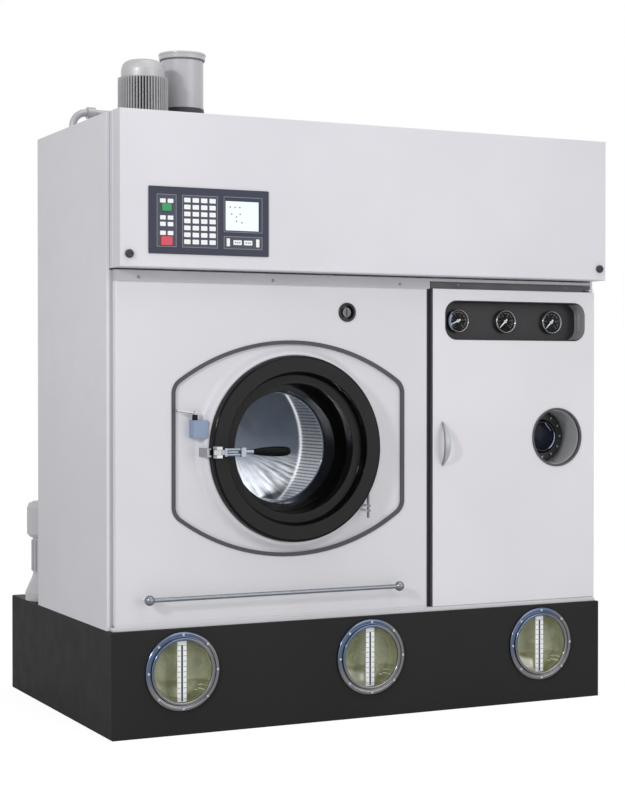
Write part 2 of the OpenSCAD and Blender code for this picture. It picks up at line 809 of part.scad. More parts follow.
// Plastic pipe with a collar at its mouth; the next pipe's spigot slides into it
module exhaust_duct() {
    wall = 3.2;
    color(cast_grey) turned_z(duct_x, duct_y, [
        [duct_r - wall, roof_z + 8], [duct_r, roof_z + 8], [duct_r, duct_top - 19], [duct_r + 2, duct_top - 17],
        [duct_r + 4.5, duct_top - 16], [duct_r + 5, duct_top - 7], [duct_r + 6.5, duct_top - 5],
        [duct_r + 6.5, duct_top - 1], [duct_r + 5.5, duct_top], [duct_r - wall, duct_top]
    ]);
}

// Rubber ring that seals the pipe into the collar on the roof
module duct_sleeve() {
    color(rubber_grey) turned_z(duct_x, duct_y, [
        [duct_r, roof_z + 8], [duct_r + 11, roof_z + 8], [duct_r + 11, roof_z + 24], [duct_r + 14, roof_z + 24],
        [duct_r + 14, roof_z + 27], [duct_r + 6, roof_z + 33], [duct_r + 4.5, roof_z + 48], [duct_r + 3, roof_z + 50],
        [duct_r, roof_z + 50]
    ]);
}

// Bent pipe on the roof with union nuts at the bends
module roof_pipe() {
    pipe_r = 10;
    bend_r = 38;
    x0 = -667;
    x1 = -400;
    y = 40;
    run_z = roof_z + 62;
    color(cast_grey) {
        for (x = [x0, x1]) {
            rod_z(pipe_r, x, y, roof_z, run_z - bend_r);
            rod_z(pipe_r + 8, x, y, roof_z, roof_z + 6);
        }
        rod_x(pipe_r, x0 + bend_r, x1 - bend_r, y, run_z);
        translate([x0 + bend_r, y, run_z - bend_r]) rotate([90, 0, 0])
            pipe_bend(bend_r, pipe_r, 90);
        translate([x1 - bend_r, y, run_z - bend_r]) rotate([90, 0, 0])
            pipe_bend(bend_r, pipe_r, 0);
        rod_x(16, x0 + bend_r + 2, x0 + bend_r + 24, y, run_z);
        rod_x(16, x1 - bend_r - 24, x1 - bend_r - 2, y, run_z);
    }
}

// A quarter bend about Z that starts at the angle given
module pipe_bend(bend_r, pipe_r, start) {
    rotate([0, 0, start]) rotate_extrude(angle = 90, $fn = 64) translate([bend_r, 0]) circle(r = pipe_r, $fn = 32);
}

// ---------------------------------------------------------------- machinery

// Upright pump set on the shelf behind the cabinet
module solvent_pump() {
    x = -654;
    y = 290;
    color(cast_grey) {
        turned_z(x, y, [
            [0, base_h], [70, base_h], [70, base_h + 22], [62, base_h + 40], [52, base_h + 62],
            [48, base_h + 74], [48, 443], [56, 446], [65, 456], [65, 530], [60, 542], [48, 547], [0, 547]
        ]);
        for (a = [0:20:340]) translate([x, y, 0]) rotate([0, 0, a]) box(46, 53, -1.2, 1.2, 350, 438);
        rod_x(17, x, x + 110, y, base_h + 34);
        rod_x(26, x + 60, x + 68, y, base_h + 34);
        rod_z(14, x + 110, y, base_h, base_h + 48);
        box(x + 60, x + 64, y - 30, y + 30, 470, 520);
        box(x + 40, x + 62, y - 28, y + 28, 472, 518);
    }
}

// Still behind the round window: upright boiler with a flanged port to the front
module still_vessel() {
    x = 575;
    y = -180;
    port_front = frame_front + 54;
    color(black_paint) difference() {
        union() {
            turned_z(x, y, [
                [0, 420], [60, 425], [105, 445], [125, 480], [125, 900], [110, 940], [70, 965], [0, 972]
            ]);
            rod_y(56, porthole_x, porthole_z, port_front + 8, y);
            rod_y(67, porthole_x, porthole_z, port_front, port_front + 16);
            tube_y(porthole_r - 2, porthole_r - 5, porthole_x, porthole_z, frame_front - 8, port_front + 16);
            tube_y(porthole_r - 2, 60, porthole_x, porthole_z, port_front + 10, port_front + 16);
            for (a = [45:90:315]) rod_z(12, x + 90 * cos(a), y + 90 * sin(a), base_h, 470);
        }
        rod_y(48, porthole_x, porthole_z, port_front - 1, port_front + 6);
        rod_y(50 + gap / 2, porthole_x, porthole_z, port_front + 6 - gap / 2, port_front + 12 + gap / 2);
        rod_y(46, porthole_x, porthole_z, port_front + 11, port_front + 50);
    }
}

module filter_housing() {
    x = 345;
    y = -40;
    color(steel) {
        turned_z(x, y, [
            [0, 350], [70, 356], [104, 376], [104, 900], [118, 900], [118, 912], [118, 924],
            [96, 934], [60, 946], [0, 950]
        ]);
        for (a = [30:60:330]) rod_z(6, x + 111 * cos(a), y + 111 * sin(a), 888, 934);
        for (a = [45:90:315]) rod_z(10, x + 80 * cos(a), y + 80 * sin(a), base_h, 372);
    }
}

// Mounting plate behind the header cover, with rails and contactors
module switch_panel() {
    color(steel) box(-700, 700, frame_face + tube, frame_face + tube + 3, 1170, 1455);
    color(cast_grey) for (z0 = [1240, 1380]) {
        box(-560, 560, frame_face + tube - 8, frame_face + tube, z0, z0 + 35);
        for (i = [0:9]) box(-540 + i * 110, -470 + i * 110, frame_face + 2, frame_face + tube - 8, z0 - 20, z0 + 55);
    }
}

// ---------------------------------------------------------------- header cover

module header_cover() {
    half = 717;
    top = roof_z + 1;
    lip = 14;
    color(white_paint) difference() {
        box(-half, half, header_front, frame_front - gap, header_z, top);
        difference() {
            box(-half + sheet, half - sheet, header_front + sheet, frame_front, header_z + sheet, top - sheet);
            // Folded lips along the open back
            difference() {
                box(-half, half, frame_front - gap - sheet, frame_front, header_z, top);
                box(-half + lip, half - lip, frame_front - 10, frame_front + 1, header_z + lip, top - lip);
            }
        }
        box(fascia_x - 150, fascia_x + 150, header_front - 1, header_front + 5, fascia_z - 74, fascia_z + 74);
        for (x = [-693, 695]) rod_y(6 + run_fit, x, 1200.5, header_front - 1, header_front + 5);
    }
    // Leaves on the cover, each with one knuckle round the pin
    color(white_paint) for (x = header_hinge_x) difference() {
        union() {
            box(x - 45, x + 45, frame_front - 40, frame_front - 5, top, top + 1.6);
            rod_x(4.6, x - 14.6, x + 14.6, frame_front, header_pin_z);
            box(x - 14.6, x + 14.6, frame_front - 6, frame_front - 1, top, header_pin_z - 1);
        }
        rod_x(header_pin_r + run_fit, x - 50, x + 50, frame_front, header_pin_z);
    }
}

// Frame of the control panel, with the electronics box behind it
module control_fascia() {
    color([0.235, 0.26, 0.32]) difference() {
        union() {
            plate_y(fascia_front, header_front) translate([fascia_x, fascia_z]) round_rect(fascia_w, fascia_h, 2.5);
            box(fascia_x - 150, fascia_x + 150, header_front, header_front + 34, fascia_z - 74, fascia_z + 74);
        }
        button_pocket(26, 20, start_z);
        button_pocket(31, 23, stop_z);
        // Recess of the display
        box(-438.5, -346, fascia_front - 1, fascia_front + 1.5, 1265.5, 1341);
    }
}

module button_pocket(w, h, z) {
    plate_y(fascia_front - 1, fascia_front + 9) translate([button_x, z]) round_rect(w + 2 * gap, h + 2 * gap, 4 + gap);
}

// Flat white keys and the pale screen
module keypad() {
    key_w = 17;
    key_h = 11.5;
    key_t = 1.2;
    color("white") plate_y(fascia_front - key_t, fascia_front) {
        for (z = [1333.5, 1292, 1276, 1254], x = [-606, -586]) translate([x, z]) round_rect(key_w - 2, key_h - 1, 1.5);
        for (i = [0:3], j = [0:6]) translate([-541.3 + i * 22.6, 1337.4 - j * 17.2]) round_rect(key_w, key_h, 1.5);
        for (k = [[-431, 9, 20], [-405.5, 23, 12], [-376.5, 23, 12], [-350, 9, 20]])
            translate([k[0], 1236.5]) round_rect(k[1], k[2], 1.5);
    }
    color([0.82, 0.90, 0.96]) box(-437.5, -347, fascia_front + 0.6, fascia_front + 1.5, 1266.5, 1340);
}

module push_button(w, h, z) {
    plate_y(fascia_front - 3.5, fascia_front + 9 - button_travel - 1)
        translate([button_x, z]) round_rect(w, h, 4);
}

module start_button() {
    color([0.10, 0.62, 0.32]) push_button(26, 20, start_z);
}

module stop_button() {
    color([0.84, 0.16, 0.14]) push_button(31, 23, stop_z);
}

// Quarter-turn lock: slotted head, stem through the cover and a cam behind it
module header_lock(x) {
    z = 1200.5;
    color(rubber_grey) difference() {
        union() {
            turned_y(x, z, [
                [0, header_front - 8], [8.5, header_front - 8], [10.5, header_front - 6],
                [10.5, header_front - gap / 2], [6, header_front - gap / 2],
                [6, header_front + 12], [0, header_front + 12]
            ]);
            box(x - 5, x + 5, header_front + 8, header_front + 11, z - 5, z + 15);
        }
        box(x - 7, x + 7, header_front - 9, header_front - 5, z - 1.3, z + 1.3);
    }
}

module left_header_lock() {
    header_lock(-693);
}

module right_header_lock() {
    header_lock(695);
}

// ---------------------------------------------------------------- service door

// Folded door pan with the gauge window and the round window
module service_door() {
    z0 = 279;
    z1 = 1138;
    depth = 18;
    color(white_paint) difference() {
        union() {
            difference() {
                box(door_left, door_right, panel_front, panel_front + depth, z0, z1);
                box(door_left + sheet, door_right - sheet, panel_front + sheet, panel_front + depth + 1,
                    z0 + sheet, z1 - sheet);
            }
            // Knuckle blocks for the pivots
            box(service_pin_x - 8, service_pin_x + 8, panel_front + 1, panel_front + depth, z0, z0 + 14);
            box(service_pin_x - 8, service_pin_x + 8, panel_front + 1, panel_front + depth, z1 - 14, z1);
        }
        plate_y(panel_front - 1, panel_front + 5)
            translate([window_x, window_z]) round_rect(window_w, window_h, window_corner);
        rod_y(porthole_r, porthole_x, porthole_z, panel_front - 1, panel_front + 5);
        rod_z(service_pin_r + run_fit, service_pin_x, service_pin_y, z0 - 1, z0 + 12);
        rod_z(service_pin_r + run_fit, service_pin_x, service_pin_y, z1 - 12, z1 + 1);
    }
}

// Dark tray behind the gauge window
module gauge_pocket() {
    floor_y = frame_front + 24;
    color(rubber_grey) difference() {
        plate_y(panel_front - 1.5, floor_y + sheet)
            translate([window_x, window_z]) round_rect(window_w, window_h, window_corner);
        plate_y(panel_front - 3, floor_y)
            translate([window_x, window_z]) round_rect(window_w - 6, window_h - 6, window_corner - 3);
    }
}

// Three round gauges: chrome bezel, dial and the spindle of the needle
module gauge_cases() {
    floor_y = frame_front + 24;
    for (x = gauge_x) color(chrome) {
        turned_y(x, gauge_z, [
            [0, floor_y], [gauge_r - 3, floor_y], [gauge_r - 3, dial_y - 2], [gauge_r, dial_y - 3],
            [gauge_r, dial_y - 6], [gauge_r - 1.5, dial_y - 8], [gauge_r - 4, dial_y - 7],
            [gauge_r - 5, dial_y], [0, dial_y]
        ]);
        rod_y(1.5, x, gauge_z, dial_y - 4, dial_y);
    }
}

// Needle turned from straight down towards the left
module needle(x, turn) {
    color("white") difference() {
        union() {
            rod_y(4, x, gauge_z, dial_y - 3.5, dial_y - gap);
            translate([x, 0, gauge_z]) rotate([0, turn, 0])
                plate_y(dial_y - 2.6, dial_y - 1.4)
                    polygon([[-2.2, 9], [2.2, 9], [1.6, -12], [0.5, -25], [-0.5, -25], [-1.6, -12]]);
        }
        rod_y(1.5 + run_fit, x, gauge_z, dial_y - 5, dial_y + 1);
    }
}

module left_needle() {
    needle(gauge_x[0], zero_turn + 21);
}

module middle_needle() {
    needle(gauge_x[1], zero_turn);
}

module right_needle() {
    needle(gauge_x[2], zero_turn);
}

module porthole_rim() {
    color(rubber_grey) turned_y(porthole_x, porthole_z, [
        [porthole_r - 3, panel_front - 2], [porthole_r - 1, panel_front - 3], [porthole_r + 3, panel_front - 3],
        [porthole_r + 3, panel_front], [porthole_r, panel_front], [porthole_r, panel_front + sheet],
        [porthole_r + 3, panel_front + sheet], [porthole_r + 3, panel_front + 5], [porthole_r - 3, panel_front + 5]
    ]);
}

// Bowed strip handle: part of a ring that stands out of the door, narrowed to its two ends
module bow_handle() {
    half_span = 60;
    rise = 30;
    strip_w = 20;
    strip_t = 4;
    bow_r = (half_span * half_span + rise * rise) / (2 * rise);
    half_w = strip_w / 2;
    leaf_r = (68 * 68 + half_w * half_w) / (2 * half_w);
    color(cast_grey) intersection() {
        translate([223 - half_w, panel_front - rise + bow_r, 719]) rotate([0, 90, 0]) difference() {
            cylinder(r = bow_r, h = strip_w, $fn = 96);
            translate([0, 0, -1]) cylinder(r = bow_r - strip_t, h = strip_w + 2, $fn = 96);
        }
        rod_y(leaf_r, 223 + leaf_r - half_w, 719, panel_front - 60, panel_front, $fn = 360);
        rod_y(leaf_r, 223 - leaf_r + half_w, 719, panel_front - 60, panel_front, $fn = 360);
    }
}

// ---------------------------------------------------------------- drawing

base_tank();
sight_wells();
sight_flanges();
sight_glasses();
level_scales();
flange_bolts();
cabinet_frame();
side_panels();
rear_panel();
roof_panel();
front_panel();
edge_trim();
front_rails();
tub_front_plate();
outer_tub();
bearing_housing();
drive_motor();
drive_belt();
hand_rail();
interlock_switch();
latch_keeper();
port_bezel();
fan_motor();
fan_housing();
exhaust_duct();
duct_sleeve();
roof_pipe();
solvent_pump();
still_vessel();
filter_housing();
switch_panel();
hinge_pins();
door_ring();
door_gasket();
door_glass();
latch_block();
latch_lever();
latch_grip();
drum_shell();
drum_ends();
drum_shaft();
motor_pulley();
fan_impeller();
header_cover();
control_fascia();
keypad();
start_button();
stop_button();
left_header_lock();
right_header_lock();
service_door();
gauge_pocket();
gauge_cases();
porthole_rim();
bow_handle();
left_needle();
middle_needle();
right_needle();
interlock_arm();
port_lock();
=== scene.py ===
# %% [markdown]
# # A dry cleaning machine
# The machine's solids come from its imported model, already at their real size and place. This notebook gives
# each of them its finish, models the pieces whose look needs more than the solids hold, and sets up the
# camera and the lamps. Blender works in metres: X to the machine's right, Y to its back, Z up, and the
# floor at Z = 0. Sizes of pieces are written in millimetres, as on a drawing, and are turned to metres by
# MM.

# %% Load the solids
import math

import bmesh
import bpy
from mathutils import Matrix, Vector


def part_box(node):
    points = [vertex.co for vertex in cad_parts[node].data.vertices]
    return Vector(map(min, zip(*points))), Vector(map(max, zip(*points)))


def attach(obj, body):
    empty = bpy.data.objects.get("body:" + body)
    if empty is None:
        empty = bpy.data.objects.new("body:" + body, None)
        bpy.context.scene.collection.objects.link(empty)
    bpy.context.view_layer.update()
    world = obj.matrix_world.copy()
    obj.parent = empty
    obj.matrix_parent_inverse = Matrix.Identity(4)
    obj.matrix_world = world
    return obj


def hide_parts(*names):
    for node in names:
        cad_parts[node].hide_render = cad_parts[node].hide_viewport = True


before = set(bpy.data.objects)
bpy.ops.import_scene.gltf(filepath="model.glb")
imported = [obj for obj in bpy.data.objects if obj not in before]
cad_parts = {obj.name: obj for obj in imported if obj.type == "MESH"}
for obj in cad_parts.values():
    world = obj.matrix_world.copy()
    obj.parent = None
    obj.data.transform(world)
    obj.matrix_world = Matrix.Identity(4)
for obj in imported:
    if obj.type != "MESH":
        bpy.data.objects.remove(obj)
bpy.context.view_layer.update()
MM = 0.001


# %% The places of the solids
class Box:
    """The box of a solid and its middle, in mm, rounded to a tenth."""

    def __init__(self, node):
        low, high = [[round(value / MM, 1) for value in corner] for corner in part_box(node)]
        self.x0, self.y0, self.z0 = low
        self.x1, self.y1, self.z1 = high
        self.x, self.y, self.z = [round((a + b) / 2, 1) for a, b in zip(low, high)]


tank = Box("base_tank")
ring = Box("door_ring")
print("tank:", vars(tank))
print("door ring:", vars(ring))

# %% [markdown]
# ## The camera
# The photograph looks at the machine from its left, at about half its height, with the camera nearly level.
# The place and the lens were worked out from the machine's straight edges.

# %% Place the camera
EYE = (-2.1783, -4.5391, 0.8937)
TILT, HEADING = 89.32, -26.0  # degrees
SENSOR_MM, LENS_MM = 36.0, 79.25

camera_data = bpy.data.cameras.new("camera")
camera_data.sensor_fit = "VERTICAL"
camera_data.sensor_height = SENSOR_MM
camera_data.lens = LENS_MM
camera_data.clip_end = 50.0
camera = bpy.data.objects.new("camera", camera_data)
camera.location = EYE
camera.rotation_euler = (math.radians(TILT), 0.0, math.radians(HEADING))
bpy.context.scene.collection.objects.link(camera)
bpy.context.scene.camera = camera
bpy.context.scene.view_settings.view_transform = "Standard"
print("camera at", EYE)

# %% [markdown]
# ## Small helpers for materials
# Colours are written as sRGB hex codes, as a colour picker shows them, and turned to the linear values that
# the shader works in. One function adds a node and makes its links. Noise seldom leaves the middle of its
# range, so only that part of it is stretched over the values wanted.


# %% Colour and node helpers
def linear(code):
    """The linear RGBA colour of an sRGB hex code such as 8a8c90."""
    parts = [int(code[i:i + 2], 16) / 255 for i in (0, 2, 4)]
    return tuple(p / 12.92 if p <= 0.04045 else ((p + 0.055) / 1.055) ** 2.4 for p in parts) + (1.0,)


def hues(first, second):
    """The two colours that a mix goes between."""
    return {"Color1": linear(first), "Color2": linear(second)}


def scale_of(grain_mm):
    """The scale of a noise whose blobs are about grain_mm across."""
    return 1 / (grain_mm * MM)


def add(tree, kind, inputs=None, **settings):
    """Adds a node. A socket or a node's first output, given as an input, is linked. Other values are set."""
    made = tree.nodes.new("ShaderNode" + kind)
    for name, value in settings.items():
        setattr(made, name, value)
    for name, value in (inputs or {}).items():
        if isinstance(value, bpy.types.Node):
            value = value.outputs[0]
        if isinstance(value, bpy.types.NodeSocket):
            tree.links.new(value, made.inputs[name])
        else:
            made.inputs[name].default_value = value
    return made


NOISE_SPAN = {"From Min": 0.3, "From Max": 0.7}


def blotches(tree, place, size_mm, low=0.0, high=1.0):
    """A value that wanders between low and high in blotches of about size_mm."""
    noise = add(tree, "TexNoise", {"Vector": place, "Scale": scale_of(size_mm)})
    return add(tree, "MapRange", {"Value": noise, **NOISE_SPAN, "To Min": low, "To Max": high})


def emptied(owner):
    """The node tree of a material or a world, without its default nodes."""
    owner.use_nodes = True
    owner.node_tree.nodes.clear()
    return owner.node_tree


def finish(name, build, metallic=0.0, specular=0.5, extra=None):
    """Makes a material. build(tree, place) returns its patterns, and extra holds plain shader values."""
    material = bpy.data.materials.new(name)
    tree = emptied(material)
    place = add(tree, "TexCoord").outputs["Object"]
    plain = {"Metallic": metallic, "Specular IOR Level": specular, **(extra or {})}
    shader = add(tree, "BsdfPrincipled", {**plain, **build(tree, place)})
    add(tree, "OutputMaterial", {"Surface": shader})
    return material


# %% [markdown]
# ## Finishes of the painted sheet
# The casing is folded sheet steel with a baked powder coat. Powder melts into a film with a faint orange
# peel, so the highlights are soft and a little broken, and large panels vary slightly in tone. The tank at
# the foot has a thicker satin black enamel.


# %% Painted finishes
def powder_coat(dark, light, peel_mm=2.5):
    """Even coat with an orange peel and a slow change of tone over about 400 mm."""
    def build(tree, place):
        peel = add(tree, "TexNoise", {"Vector": place, "Scale": scale_of(peel_mm)})
        return {
            "Base Color": add(tree, "MixRGB", {"Fac": blotches(tree, place, 400), **hues(dark, light)}),
            "Roughness": blotches(tree, place, 60, 0.34, 0.44),
            "Normal": add(tree, "Bump", {"Height": peel, "Strength": 1.0, "Distance": 0.02 * MM}),
        }
    return build


white_coat = finish("white_powder_coat", powder_coat("dad9de", "e0dfe4"))
door_coat = finish("door_powder_coat", powder_coat("e2e1e6", "e8e7ec"))
header_coat = finish("header_powder_coat", powder_coat("dcdbe1", "e2e1e7"))
# A greyer copy of the cover's coat: painted shade on the cover's two sides.
cover_side_shade = finish("cover_sides_painted_shade", powder_coat("c5c5ca", "cbcbd0"))
# A greyer copy of the white coat: painted shade on the sides, used on the back and the roof too.
side_shade_coat = finish("side_coat_painted_shade", powder_coat("cac9cf", "d0cfd5"))
# A greyer copy of the white coat: painted shade on the rails under the cover and in the corner's gap.
rail_shade_coat = finish("rail_coat_painted_shade", powder_coat("b4b4b9", "bcbcc1"))
sill_coat = finish("sill_powder_coat", powder_coat("d4d4d8", "dadade"))
# Painted shade in the gap beside the service door, on the door's left side.
gap_shade_grey = finish("painted_shade_in_door_gap", powder_coat("5c5b60", "646368", 1.5))
# A dark copy of the coat: painted shade in the recess above the service door.
recess_shade_coat = finish("painted_shade_in_recess", powder_coat("55545a", "605f64"))
tank_enamel = finish("black_tank_enamel", powder_coat("2f2f30", "333333", 4.0), specular=0.02)
frame_primer = finish("grey_frame_primer", powder_coat("56565a", "626266", 3.0))
shroud_enamel = finish("grey_shroud_enamel", powder_coat("a6a7a9", "b4b5b7", 3.0))
still_enamel_and_clamp_shade = finish("black_still_enamel_and_painted_shade", powder_coat("1d1d20", "26262a", 3.0))
motor_enamel = finish("grey_motor_enamel", powder_coat("b4b4b8", "c0c0c4", 3.0))
print("painted finishes:", len(bpy.data.materials))

# %% [markdown]
# ## Inside of the tank
# The tank is lined with olive enamel, and looks yellower below the surface of the solvent. Near-white
# painted reflections lie at the foot of each scale, as a wedge at its left and as small glints at its right.
# The three sight glasses are evenly spaced, so the pattern is drawn once and repeated across the tank by
# wrapping X at their pitch.

# %% Solvent and its painted glints
GLASS_PITCH = 0.533
SURFACE = 0.132


def beside_glass(tree, place):
    """X, the distance to the right of the nearest glass's middle, and the height, all in metres."""
    parts = add(tree, "SeparateXYZ", {"Vector": place}).outputs
    limits = {1: GLASS_PITCH / 2, 2: -GLASS_PITCH / 2}
    return parts["X"], add(tree, "Math", {0: parts["X"], **limits}, operation="WRAP"), parts["Z"]


def painted_glints(tree, across, side, height):
    """The share of painted reflection: a wedge left of each scale, fuller to the right of the tank, and small
    glints.
    """
    slope = add(tree, "MapRange", {"Value": side, "From Min": -0.07, "From Max": 0.0, "To Min": 0.131,
                                   "To Max": 0.112})
    below = add(tree, "Math", {0: slope, 1: height}, operation="SUBTRACT")
    pool = add(tree, "MapRange", {"Value": below, "From Min": -0.002, "From Max": 0.008})
    left = add(tree, "MapRange", {"Value": side, "From Min": 0.0, "From Max": -0.004})
    fuller = add(tree, "MapRange", {"Value": across, "From Min": -0.4, "From Max": 0.4, "To Min": 0.15,
                                    "To Max": 0.95})
    wedge = add(tree, "Math", {0: pool, 1: left}, operation="MULTIPLY")
    wedge = add(tree, "Math", {0: wedge, 1: fuller}, operation="MULTIPLY")
    flat = add(tree, "CombineXYZ", {"X": side, "Y": height})
    drawn = add(tree, "Mapping", {"Vector": flat, "Rotation": (0, 0, -0.9), "Scale": (1, 4, 1)})
    cells = add(tree, "TexVoronoi", {"Vector": drawn, "Scale": 60.0})
    glint_dots = add(tree, "MapRange", {"Value": cells, "From Min": 0.3, "From Max": 0.2})
    low = add(tree, "MapRange", {"Value": height, "From Min": 0.125, "From Max": 0.115})
    right = add(tree, "MapRange", {"Value": side, "From Min": 0.036, "From Max": 0.042})
    glint_dots = add(tree, "Math", {0: glint_dots, 1: low}, operation="MULTIPLY")
    glint_dots = add(tree, "Math", {0: glint_dots, 1: right}, operation="MULTIPLY")
    return add(tree, "Math", {0: wedge, 1: glint_dots}, operation="MAXIMUM")


def solvent_lining(tree, place):
    """Olive enamel, yellower below the solvent's surface, with the painted reflections over it."""
    across, side, height = beside_glass(tree, place)
    wet = add(tree, "MapRange", {"Value": height, "From Min": SURFACE + 0.002, "From Max": SURFACE - 0.002})
    dry_tone = add(tree, "MixRGB", {"Fac": blotches(tree, place, 50), **hues("949676", "b2b496")})
    wet_tone = add(tree, "MixRGB", {"Fac": blotches(tree, place, 30), **hues("82855f", "9d9c7c")})
    enamel = add(tree, "MixRGB", {"Fac": wet, "Color1": dry_tone, "Color2": wet_tone})
    pale = painted_glints(tree, across, side, height)
    drips = add(tree, "TexNoise", {"Vector": place, "Scale": scale_of(9)})
    return {
        # Painted reflection: the near-white patches stand for the room mirrored in the lining.
        "Base Color": add(tree, "MixRGB", {"Fac": pale, "Color1": enamel, "Color2": linear("fffdf2")}),
        "Roughness": blotches(tree, place, 20, 0.16, 0.3),
        "Normal": add(tree, "Bump", {"Height": drips, "Strength": 1.0, "Distance": 0.4 * MM}),
    }


lining = finish("olive_tank_lining", solvent_lining, metallic=0.1)
print(lining.name)

# %% [markdown]
# ## Finishes of the metals
# Stainless steel in the drum is rolled and brushed, so its highlight is drawn out across the grain. The
# flanges, the rail and the lever are plated: nearly mirror-like, with only a trace of haze from handling.
# Cast and pressed parts are duller.


# %% Metal finishes
def grained(dark, light, stretch, rough=(0.22, 0.36)):
    """Brushed metal: noise of 3 mm, finer along each axis by the factors in stretch."""
    def build(tree, place):
        drawn = add(tree, "Mapping", {"Vector": place, "Scale": stretch})
        lines = add(tree, "TexNoise", {"Vector": drawn, "Scale": scale_of(3), "Detail": 4.0})
        share = add(tree, "MapRange", {"Value": lines, **NOISE_SPAN})
        return {
            "Base Color": add(tree, "MixRGB", {"Fac": share, **hues(dark, light)}),
            "Roughness": add(tree, "MapRange", {"Value": lines, **NOISE_SPAN, "To Min": rough[0],
                                                "To Max": rough[1]}),
            "Normal": add(tree, "Bump", {"Height": lines, "Strength": 1.0, "Distance": 0.015 * MM}),
        }
    return build


def plated(dark, light, rough):
    """Bright plating with a haze that comes and goes over about 30 mm."""
    def build(tree, place):
        haze = add(tree, "TexNoise", {"Vector": place, "Scale": scale_of(30)})
        return {
            "Base Color": add(tree, "MixRGB", {"Fac": haze, **hues(dark, light)}),
            "Roughness": add(tree, "MapRange", {"Value": haze, **NOISE_SPAN, "To Min": rough * 0.7,
                                                "To Max": rough * 1.3}),
        }
    return build


def flange_plating(tree, place):
    """Blue at the upper left of each flange as a painted reflection of the room, and grey elsewhere."""
    across, side, height = beside_glass(tree, place)
    upper_left = add(tree, "Math", {0: side, 1: -0.75, 2: height}, operation="MULTIPLY_ADD")
    blue = add(tree, "MapRange", {"Value": upper_left, "From Min": 0.18, "From Max": 0.235})
    return {"Base Color": add(tree, "MixRGB", {"Fac": blue, **hues("88888a", "66738a")}),
            "Roughness": blotches(tree, place, 25, 0.1, 0.18)}


drum_steel = finish("brushed_stainless_drum", grained("9a9da3", "c4c6cb", (1, 1, 12)), 1.0)
tub_steel = finish("dull_stainless_tub", grained("6c6e73", "8a8c90", (1, 1, 8), (0.35, 0.5)), 1.0)
plain_steel = finish("zinc_plated_steel", plated("a6a9ae", "b9bcc1", 0.28), 1.0)
chrome = finish("bright_chrome", plated("c3c8d2", "d8dbe2", 0.09), 1.0)
satin_alloy = finish("satin_cast_alloy", plated("c3c4c5", "d0d0d1", 0.34), 0.45)
bow_alloy = finish("satin_anodised_bow", plated("b3b8b8", "bdc1c1", 0.4), 0.3)
bow_edge_shade = finish("painted_shade_on_bow_edge", plated("85868e", "92939b", 0.45), 0.3)
rail_plate = finish("plated_rail_tube", plated("7c8087", "8a8e95", 0.2), 0.9)
lever_plate = finish("plated_lever", plated("838a94", "949ba5", 0.25), 0.85)
pipe_metal = finish("galvanised_pipe", plated("aeaeb2", "bdbdc0", 0.4), 0.3)
blued_steel = finish("blackened_lock_steel", plated("2b2b2e", "39393c", 0.3), 0.5)
lock_core = finish("worn_lock_core", plated("55565a", "6b6c70", 0.35), 0.6)
# The rod's dark grey also serves as painted shade on the interlock arm's outline.
rod_steel_and_arm_shade = finish("dark_hinge_rod_and_painted_shade", plated("6c6e73", "7d7f84", 0.35), 0.6)
port_bolt = finish("dark_port_bolt", plated("85868c", "97989e", 0.2), 0.7)
fin_alloy = finish("cast_aluminium_fins", plated("acacaf", "bababc", 0.55), 0.2)
fin_shade = finish("painted_shade_between_fins", plated("464648", "505052", 0.6), 0.2)
cowl_steel = finish("pressed_steel_cowl", plated("b6b6ba", "c2c2c5", 0.5), 0.4)
cast_metal = finish("grey_cast_steel", plated("9a9ca2", "a8aab0", 0.4), 0.6)
bolt_steel = finish("bright_bolt_steel", plated("c0c8d2", "d0d7df", 0.3), 0.3)
screw_steel = finish("grey_screw_steel", plated("808085", "8e8e93", 0.4), 0.5)
# The weld bead is near-white and glows a little: a painted glow on a polished bead.
weld_glow_steel = finish("polished_weld_bead_painted_glow", plated("f2f3f6", "ffffff", 0.2), 0.1,
                    extra={"Emission Color": linear("ffffff"), "Emission Strength": 0.35})
bezel_steel = finish("plated_gauge_bezel", plated("a4a4a9", "b2b2b7", 0.15), 0.9)
clamp_steel = finish("polished_clamp_ring", plated("7f8799", "9aa1b2", 0.15), 0.8)
flange_plate = finish("plated_flange_steel", flange_plating, 1.0)
print("finishes so far:", len(bpy.data.materials))

# %% [markdown]
# ## Finishes of plastics, rubber and glass
# The door ring and the grip are moulded and polished black. Gauge dials and the window's tray are matt
# black, the keys are glossy membrane domes, and the pipe on the roof is grey PVC. Glass is clear with a
# faint blue tint.


# %% Plastic, rubber and glass finishes
def moulded(dark, light, rough, grain_mm=1.2, depth_mm=0.01):
    """Moulded plastic: a fine skin, and a slow drift in tone over about 120 mm."""
    def build(tree, place):
        skin = add(tree, "TexNoise", {"Vector": place, "Scale": scale_of(grain_mm)})
        drift = add(tree, "TexNoise", {"Vector": place, "Scale": scale_of(120)})
        return {
            "Base Color": add(tree, "MixRGB", {"Fac": drift, **hues(dark, light)}),
            "Roughness": add(tree, "MapRange", {"Value": skin, **NOISE_SPAN, "To Min": rough - 0.04,
                                                "To Max": rough + 0.04}),
            "Normal": add(tree, "Bump", {"Height": skin, "Strength": 1.0, "Distance": depth_mm * MM}),
        }
    return build


